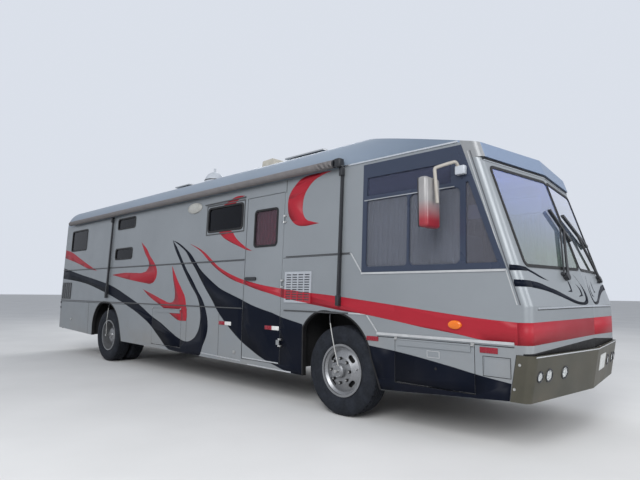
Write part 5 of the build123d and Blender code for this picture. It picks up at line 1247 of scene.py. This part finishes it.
def roof_trim():
    """Flat panels on the roof, the dome's base and the awning's end caps and arm feet."""
    glass, frames, dark = new_meshes(3)
    for rear, front in ROOF_PANELS:
        block(frames, (rear, -0.790, PANEL_Z), (front, -0.510, PANEL_Z + 0.020), 0.002)
        block(glass, (rear + 0.012, -0.778, PANEL_Z + 0.016), (front - 0.012, -0.522, PANEL_Z + 0.0225))
    turned(dark, DOME_BASE, (-0.25, -0.65, DOME_Z), (0, 0, 1), 40)
    for x in (3.153, -5.173):
        disc(dark, (x, AWNING_Y, AWNING_Z), (1, 0, 0), 0.0515, 0.020, 32)
    for x in (-3.00, 3.24):
        for z, tall in ((1.300, 0.060), (2.820, 0.050)):
            y = -(wall_y(z) + 0.010)
            block(dark, (x - 0.026, y - 0.050, z - tall), (x + 0.026, y, z + tall), 0.006)
    block(dark, (3.175, -1.294, 2.870), (3.260, -1.205, 2.976), 0.012)
    closed_pieces(
        (glass, "roof_panel_glass", "panel", "coach", ("solar_panel",)),
        (frames, "roof_panel_frames", "aluminium"),
        (dark, "roof_and_awning_ends", "black_trim"),
    )


def mirrors():
    """Two-colour mirror shells, their glass, and the tubes that carry them."""
    for name, side in SIDES:
        heads, arms = (("mirror_heads",), ("mirror_arms",)) if side < 0 else ((), ())
        y = side * MIRROR_Y
        shell, rim, glass, foot = new_meshes(4)
        block(shell, (4.524, y - 0.126, 2.012), (4.625, y + 0.126, 2.498), 0.032, 5)
        block(rim, (4.518, y - 0.118, 2.018), (4.540, y + 0.118, 2.490), 0.008, 3)
        block(glass, (4.5155, y - 0.104, 2.034), (4.520, y + 0.104, 2.474), 0.001)
        inner, outer = sorted((side * (wall_y(2.58) + 0.0045), side * 1.262))
        block(foot, (4.735, inner, 2.540), (4.835, outer, 2.626), 0.008, 3)
        closed_pieces(
            (shell, f"{name}_mirror_shell", "mirror_shell", "coach", heads),
            (rim, f"{name}_mirror_rim", "black_trim"),
            (glass, f"{name}_mirror_glass", "mirror"),
            (foot, f"{name}_mirror_foot", "white_plastic"),
        )
        points = [
            (4.765, side * 1.235, 2.600), (4.760, side * 1.262, 2.668), (4.735, side * 1.315, 2.652),
            (4.645, y - side * 0.030, 2.596), (4.638, y, 2.580), (4.642, y, 2.530), (4.664, y, 2.240),
        ]
        tube(f"{name}_mirror_tube", points, 0.017, "mirror_tube", 5, hides=arms)


def arch_lips():
    """Dark lips round the wheel arches."""
    section = ((-0.008, 1.2530), (0.012, 1.2530), (0.012, 1.195), (-0.008, 1.195))
    for name, side in SIDES:
        bm = bmesh.new()
        for axle_x, corners in ARCHES:
            spots = [Vector((axle_x + x, z)) for x, z in corners]
            arcs = arc_through(*spots[1:4], ARC_STEPS) + arc_through(*spots[3:6], ARC_STEPS)[1:]
            points = [spots[0], *arcs, spots[6]]
            rings = []
            for before, spot, after in zip(points[:1] + points, points, points[1:] + points[-1:]):
                inward = Vector(((after - before).y, -(after - before).x)).normalized()
                places = [(spot + inward * deep, side * y) for deep, y in section]
                rings.append([bm.verts.new((place.x, y, place.y)) for place, y in places])
            for one, two in zip(rings, rings[1:]):
                for corner in range(4):
                    bm.faces.new((one[corner], one[corner - 1], two[corner - 1], two[corner]))
            bm.faces.new(rings[0])
            bm.faces.new(rings[-1][::-1])
        closed_pieces((bm, f"{name}_arch_lips", "seal", "coach", (), 40))


def arc_through(first, middle, last, steps):
    """Points of the arc through three points."""
    one, two = middle - first, last - first
    scale = 2 * (one.x * two.y - one.y * two.x)
    square_one, square_two = one.length_squared, two.length_squared
    centre = first + Vector(
        (two.y * square_one - one.y * square_two, one.x * square_two - two.x * square_one)
    ) / scale
    radius = (first - centre).length
    start = math.atan2(first.y - centre.y, first.x - centre.x)
    end = math.atan2(last.y - centre.y, last.x - centre.x)
    if (end - start) * scale < 0:
        end += math.copysign(math.tau, scale)
    turns = [start + (end - start) * step / steps for step in range(steps + 1)]
    return [centre + radius * Vector((math.cos(turn), math.sin(turn))) for turn in turns]


class COACH_OT_tyres(Operator):
    """Replace the plain tyres by treaded ones"""

    bl_idname = "coach.tyres"
    bl_label = "Fit the tyres"

    def execute(self, context):
        sizes = context.scene.coach_sizes
        for name, side in SIDES:
            for end, tyre, wheel, axle_x, middles in (
                ("front", "tyre", "wheel", FRONT_AXLE_X, (WHEEL_Y,)),
                ("rear", "tyres", "wheels", REAR_AXLE_X, (WHEEL_Y, WHEEL_Y - TWIN_PITCH)),
            ):
                place = f"{name}_{end}"
                bm = bmesh.new()
                for middle in middles:
                    treaded_tyre(bm, (axle_x, side * middle, WHEEL_Z), sizes)
                finish_piece(
                    f"{place}_road_{tyre}", bm, "tyre", f"{place}_{wheel}", (f"{place}_{tyre}",), 50,
                )
        return {"FINISHED"}


def treaded_tyre(bm, centre, sizes):
    """Add one tyre with beads, ribbed sidewalls, shoulders and a grooved tread."""
    half = list(TYRE_WALL)
    half += [(radius - floor * sizes.tread_depth, along) for radius, along, floor in TYRE_TREAD]
    part = bmesh.new()
    mirrored = [(radius, -along) for radius, along in reversed(half)]
    turned(part, half + mirrored, centre, (0, 1, 0), sizes.tyre_steps)
    closed_normals(part)
    lugs_round_shoulder(part, Vector(centre))
    join_part(bm, part)


def lugs_round_shoulder(bm, centre):
    """Sink every other shoulder facet so that the tread edge has blocks."""
    chosen = []
    for face in bm.faces:
        spot = face.calc_center_median() - centre
        if SHOULDER_R < math.hypot(spot.x, spot.z) and SHOULDER_Y[0] < abs(spot.y) < SHOULDER_Y[1]:
            if math.atan2(spot.z, spot.x) / math.tau * LUGS % 1.0 < 0.5:
                chosen.append(face)
    bmesh.ops.inset_individual(bm, faces=chosen, thickness=0.003, depth=-0.006)


def inflation_hose(name, points, radius):
    """Tyre inflation hose, a round tube through some points."""
    piece = tube(name, points, radius, "hose")
    line = [vertex.co.copy() for vertex in route_mesh(points).vertices]
    return piece


class COACH_OT_wheels(Operator):
    """Add wheel nuts with the painted shade of their seats, cap bolts, valves and the inflation hoses"""

    bl_idname = "coach.wheels"
    bl_label = "Dress the wheels"

    def execute(self, context):
        hose = context.scene.coach_sizes.hose_radius
        for name, side in SIDES:
            for row in WHEEL_FACES:
                wheel_dressing(name, side, *row)
            front_wheel_face(name, side)
        front, rear = new_meshes(2)
        disc(front, (FRONT_AXLE_X, -1.283, WHEEL_Z), (0, 1, 0), 0.018, 0.034)
        disc(rear, (REAR_AXLE_X, -1.195, WHEEL_Z), (0, 1, 0), 0.014, 0.100)
        disc(rear, (REAR_AXLE_X, -1.240, WHEEL_Z), (0, 1, 0), 0.022, 0.018)
        finish_piece("right_front_hose_union", front, "steel", "right_steering_knuckle")
        union = finish_piece("right_rear_hose_union", rear, "steel", "right_rear_wheels")
        piece = inflation_hose("right_front_inflation_hose", FRONT_HOSE, hose)
        piece.parent = None
        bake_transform(piece)
        inflation_hose("right_rear_inflation_hose", REAR_HOSE, hose)
        return {"FINISHED"}


def wheel_dressing(name, side, end, body, axle_x, face_y, cap_y, cap_r, seat_y, seat_depth):
    """Wheel nuts, cap bolts and a valve on one wheel face, and dark discs of painted shade in the seats
    under the nuts.
    """
    bolts, seats = new_meshes(2)
    ring_of_discs(bolts, axle_x, BOLT_CIRCLE_R, face_y + 0.018, 0.010, 0.020, 12, side)
    ring_of_discs(bolts, axle_x, cap_r, cap_y - 0.004, 0.006, 0.010, 6, side)
    valve = (axle_x + 0.225, side * (face_y - 0.010), WHEEL_Z + 0.03)
    disc(bolts, valve, (0.25, side, 0), 0.005, 0.055, 10)
    # Painted shade: dark discs in the recessed seats round the nuts
    ring_of_discs(seats, axle_x, BOLT_CIRCLE_R, seat_y, 0.0175, seat_depth, 20, side)
    closed_pieces(
        (bolts, f"{name}_{end}_wheel_bolts", "steel", f"{name}_{body}"),
        (seats, f"{name}_{end}_bolt_seat_shade", "seam", f"{name}_{body}"),
    )


def front_wheel_face(name, side):
    """Dark plate of painted shade behind the vents, and the bright cone at a front wheel's flange."""
    middle = (FRONT_AXLE_X, side * WHEEL_Y, WHEEL_Z)
    plate, cone = new_meshes(2)
    # Painted shade: a dark plate that fills the view through the vents
    turned(plate, VENT_SHADE_PLATE, middle, (0, side, 0), 40)
    turned(cone, RIM_CONE, middle, (0, side, 0), 72)
    closed_pieces(
        (plate, f"{name}_front_drum_plate", "seam", f"{name}_front_wheel"),
        (cone, f"{name}_front_rim_cone", "wheel", f"{name}_front_wheel", (), 25),
    )


class COACH_OT_lamps(Operator):
    """Build the bumper lamps, side markers, reflectors and tail lamps"""

    bl_idname = "coach.lamps"
    bl_label = "Fit the lamps"

    def execute(self, context):
        bumper_lamps()
        side_lamps()
        reflectors()
        return {"FINISHED"}


def bumper_lamps():
    """Chromed bowls, clear lenses and dark bezels of the round lamps in the bumper."""
    bowls, lenses, bezels = new_meshes(3)
    for _, side in SIDES:
        axis = Vector((1.0, FRONT_VEE * side, -BUMPER_TUCK)).normalized()
        for offset, radius in BUMPER_LAMPS:
            spot = on_bumper(side)(offset, BUMPER_LAMP_Z, 0.0)
            inner = radius * 0.94
            bowl = [(0.0, -0.040), (radius * 0.5, -0.035), (radius * 0.85, -0.018), (inner, -0.003)]
            dome = [(radius * 0.95, 0.0), (radius * 0.82, 0.004), (radius * 0.5, 0.0065), (0.0, 0.0075)]
            bezel = [
                (inner, -0.006), (radius * 0.95, 0.005), (radius + 0.003, 0.008),
                (radius + 0.009, 0.005), (radius + 0.010, 0.0002), (inner, -0.006),
            ]
            for bm, section in ((bowls, bowl), (lenses, dome), (bezels, bezel)):
                turned(bm, section, spot, axis, 32)
    closed_normals(bowls)
    bmesh.ops.reverse_faces(bowls, faces=[face for face in bowls.faces if face.normal.x < 0])
    thicken(finish_piece("bumper_lamp_bowls", bowls, "chrome", hides=("bumper_lamps",)), 0.001)
    glass, _ = closed_pieces(
        (lenses, "bumper_lamp_lenses", "lens_clear"), (bezels, "bumper_lamp_bezels", "black_trim"),
    )
    thicken(glass, 0.002)


def side_lamps():
    """Oval marker and porch lamps and round tail lamps."""
    porch, markers, tails, rings = new_meshes(4)
    for bm, side, x, z, half_x, half_z in (
        (porch, -1, 0.030, 2.732, 0.205, 0.086),
        (markers, -1, FRONT_AXLE_X + 1.485, 1.100, 0.070, 0.042),
        (markers, 1, FRONT_AXLE_X + 1.485, 1.100, 0.070, 0.042),
    ):
        part = bmesh.new()
        turned(part, OVAL_DOME, (0, 0, 0), (0, side, 0), 40)
        bmesh.ops.scale(part, verts=part.verts[:], vec=(half_x, 1.0, half_z))
        bmesh.ops.translate(part, verts=part.verts[:], vec=(x, side * (wall_y(z) + 0.0005), z))
        join_part(bm, part)
    for _, side in SIDES:
        for z in TAIL_LAMPS_Z:
            spot = (BODY_REAR_X, side * TAIL_LAMP_Y, z)
            turned(tails, TAIL_LENS, spot, (-1, 0, 0), 32)
            turned(rings, TAIL_RING, spot, (-1, 0, 0), 32)
    pieces = closed_pieces(
        (porch, "porch_lamp", "porch_lens", "coach", ("body_lamps",)),
        (markers, "side_marker_lamps", "lens_orange"),
        (tails, "tail_lamps", "lens_red"),
        (rings, "tail_lamp_rings", "black_trim"),
    )
    thicken(pieces[-1], 0.001)


def reflectors():
    """Red reflectors and half white ones, those at the door on its leaf."""
    reds, whites, door_red, door_white = new_meshes(4)
    for _, side in SIDES:
        low_y, high_y = sorted((side * (HALF_WIDTH + 0.0022), side * (HALF_WIDTH + 0.007)))
        for rear, front, bottom, top, split in REFLECTORS:
            on_door = side < 0 and inside(DOOR_LEAF, rear, bottom)
            red, white = (door_red, door_white) if on_door else (reds, whites)
            middle = (rear + front) / 2 if split else front
            block(red, (rear, low_y, bottom), (middle, high_y, top), 0.002)
            if split:
                block(white, (middle + 0.001, low_y, bottom), (front, high_y, top), 0.002)
    closed_pieces(
        (reds, "red_reflectors", "lens_red", "coach", ("side_reflectors",)),
        (whites, "white_reflectors", "lens_white"),
        (door_red, "door_red_reflector", "lens_red", "door_leaf"),
        (door_white, "door_white_reflector", "lens_white", "door_leaf"),
    )


class COACH_OT_cab(Operator):
    """Fit the padded seats and the curtains that show through the glass"""

    bl_idname = "coach.cab"
    bl_label = "Fit out the cab"

    def execute(self, context):
        padded_seats()
        for name, *row in CURTAINS:
            pleated(f"{name}_curtain", *row)
        pleated("door_curtain", -1, 1.58, 2.12, 1.96, 2.58, 0.075, "red_curtain", "door_leaf")
        return {"FINISHED"}


def pleated(name, side, rear, front, bottom, top, inset, finish="curtain", body="coach"):
    """Pleated curtain just inside a side window."""
    bm = bmesh.new()
    bmesh.ops.create_grid(bm, x_segments=int((front - rear) / PLEAT_STEP), y_segments=8, size=0.5)
    for vert in bm.verts:
        across, up = vert.co.x + 0.5, vert.co.y + 0.5
        x = rear + (front - rear) * across
        z = bottom + (top - bottom) * up
        wave = math.sin(x * 95 + 0.7 * math.sin(x * 9)) + 0.4 * math.sin(x * 31 + 1.3)
        depth = PLEAT_DEPTH * wave * (1.05 - 0.35 * up)
        vert.co = Vector((x, side * (wall_y(z) - inset + depth), z))
    face_outwards(bm, Vector((0, side, 0)))
    piece = finish_piece(name, bm, finish, body, sharp=80)
    thicken(piece, CLOTH_THICKNESS)


def padded_seats():
    """Cab seats: crowned cushions and backs on their pedestals."""
    pads, bases = new_meshes(2)
    x, z = SEAT_X, FLOOR_Z
    for _, side in SIDES:
        y = side * SEAT_Y
        block(bases, (x - 0.19, y - 0.19, z + 0.0003), (x + 0.19, y + 0.19, z + 0.34), 0.02)
        cushion(pads, (x - 0.26, y - 0.26, z + 0.34), (x + 0.26, y + 0.26, z + 0.46), 0.0)
        cushion(pads, (x - 0.31, y - 0.25, z + 0.44), (x - 0.17, y + 0.25, z + 1.08), 0.10)
    seats, _ = closed_pieces(
        (pads, "cab_seat_cushions", "seat", "coach", ("cab_seats",), 80),
        (bases, "cab_seat_bases", "black_trim"),
    )


def cushion(bm, low, high, lean):
    """Add a crowned pad between two corners, leaning back by a slope."""
    part = bmesh.new()
    block(part, low, high, 0.035, 3)
    bmesh.ops.subdivide_edges(part, edges=part.edges[:], cuts=3, use_grid_fill=True)
    centre = (Vector(low) + Vector(high)) / 2
    half = (Vector(high) - Vector(low)) / 2
    flat = min(range(3), key=lambda axis: half[axis])
    one, two = (axis for axis in range(3) if axis != flat)
    for vert in part.verts:
        offset = vert.co - centre
        crown = max(0.0, (1 - (offset[one] / half[one]) ** 2) * (1 - (offset[two] / half[two]) ** 2))
        offset[flat] *= 0.82 + 0.18 * crown
        vert.co = centre + offset
        vert.co.x -= lean * (vert.co.z - low[2])
    join_part(bm, part)


class COACH_OT_stage(Operator):
    """Set the floor, the soft lamps, the world and the camera"""

    bl_idname = "coach.stage"
    bl_label = "Set the stage"

    def execute(self, context):
        set_floor()
        set_lights()
        set_world()
        set_camera()
        context.scene.view_settings.view_transform = "Standard"
        return {"FINISHED"}


def set_floor():
    """Wide pale floor under the tyres."""
    look = Finish("pale_studio_floor")
    tone = look.mix(look.wear(0.6, 5.0), (0.62, 0.62, 0.615), (0.68, 0.68, 0.675))
    bm = bmesh.new()
    bmesh.ops.create_circle(bm, cap_ends=True, segments=96, radius=160.0)
    mesh = bpy.data.meshes.new("studio_floor")
    bm.to_mesh(mesh)
    bm.free()
    mesh.materials.append(look.done(tone, 0.9))
    floor = bpy.data.objects.new("studio_floor", mesh)
    bpy.context.scene.collection.objects.link(floor)


def set_lights():
    """Soft lamps at the near side, front and above."""
    for name, place, target, size, power in LAMPS:
        lamp = bpy.data.lights.new(name, "AREA")
        lamp.size = size
        lamp.energy = power
        holder = bpy.data.objects.new(name, lamp)
        holder.location = place
        aim = Vector(target) - Vector(place)
        holder.rotation_euler = aim.to_track_quat("-Z", "Y").to_euler()
        bpy.context.scene.collection.objects.link(holder)


def set_world():
    """Pale world that looks brighter than the light that it gives."""
    world = bpy.data.worlds.new("studio_world")
    bpy.context.scene.world = world
    world.use_nodes = True
    sky = Nodes(world.node_tree)
    rays = sky.add("LightPath").outputs
    seen = sky.calc("MAXIMUM", rays["Is Camera Ray"], rays["Is Glossy Ray"])
    seen = sky.calc("MAXIMUM", seen, rays["Is Transmission Ray"])
    strength = sky.remap(seen, 0.0, 1.0, SKY_LIGHT, SKY_SEEN)
    sky.fill(world.node_tree.nodes["Background"], {"Color": SKY_COLOUR, "Strength": strength})


def set_camera():
    """Camera where the photograph was taken from."""
    yaw, pitch, roll = (math.radians(angle) for angle in CAMERA_TURN)
    view = Vector((-math.sin(yaw) * math.cos(pitch), math.cos(yaw) * math.cos(pitch), math.sin(pitch)))
    right = Vector((math.cos(yaw), math.sin(yaw), 0.0))
    up = right.cross(view)
    across = math.cos(roll) * right + math.sin(roll) * up
    upward = -math.sin(roll) * right + math.cos(roll) * up
    camera = bpy.data.cameras.new("photo_camera")
    camera.sensor_fit = "HORIZONTAL"
    camera.sensor_width = SENSOR_WIDTH
    camera.lens = FOCAL_LENGTH
    camera.clip_end = 500.0
    holder = bpy.data.objects.new("photo_camera", camera)
    turn = Matrix((across, upward, -view)).transposed().to_4x4()
    holder.matrix_world = Matrix.Translation(CAMERA_PLACE) @ turn
    bpy.context.scene.collection.objects.link(holder)
    bpy.context.scene.camera = holder


class COACH_PT_panel(Panel):
    """Lists the finishing steps in the 3D view's sidebar"""

    bl_idname = "COACH_PT_panel"
    bl_label = "Motorhome"
    bl_space_type = "VIEW_3D"
    bl_region_type = "UI"
    bl_category = "Motorhome"

    def draw(self, context):
        layout = self.layout
        for group in (context.scene.coach_colours, context.scene.coach_sizes):
            for name in group.bl_rna.properties.keys():
                if name not in ("rna_type", "name"):
                    layout.prop(group, name)
        for step in STEPS:
            layout.operator(step.bl_idname)


STEPS = (
    COACH_OT_paint,
    COACH_OT_stripes,
    COACH_OT_trim,
    COACH_OT_tyres,
    COACH_OT_wheels,
    COACH_OT_lamps,
    COACH_OT_cab,
    COACH_OT_stage,
)
CLASSES = (CoachColours, CoachSizes, *STEPS, COACH_PT_panel)


def register():
    """Add the classes and their properties."""
    for kind in CLASSES:
        bpy.utils.register_class(kind)
    bpy.types.Scene.coach_colours = PointerProperty(type=CoachColours)
    bpy.types.Scene.coach_sizes = PointerProperty(type=CoachSizes)


def unregister():
    """Take the classes and their properties away."""
    del bpy.types.Scene.coach_sizes
    del bpy.types.Scene.coach_colours
    for kind in reversed(CLASSES):
        bpy.utils.unregister_class(kind)


def main():
    """Run every step in order."""
    register()
    bpy.ops.coach.paint()
    bpy.ops.coach.stripes()
    bpy.ops.coach.trim()
    bpy.ops.coach.tyres()
    bpy.ops.coach.wheels()
    bpy.ops.coach.lamps()
    bpy.ops.coach.cab()
    bpy.ops.coach.stage()


if __name__ == "__main__":
    main()
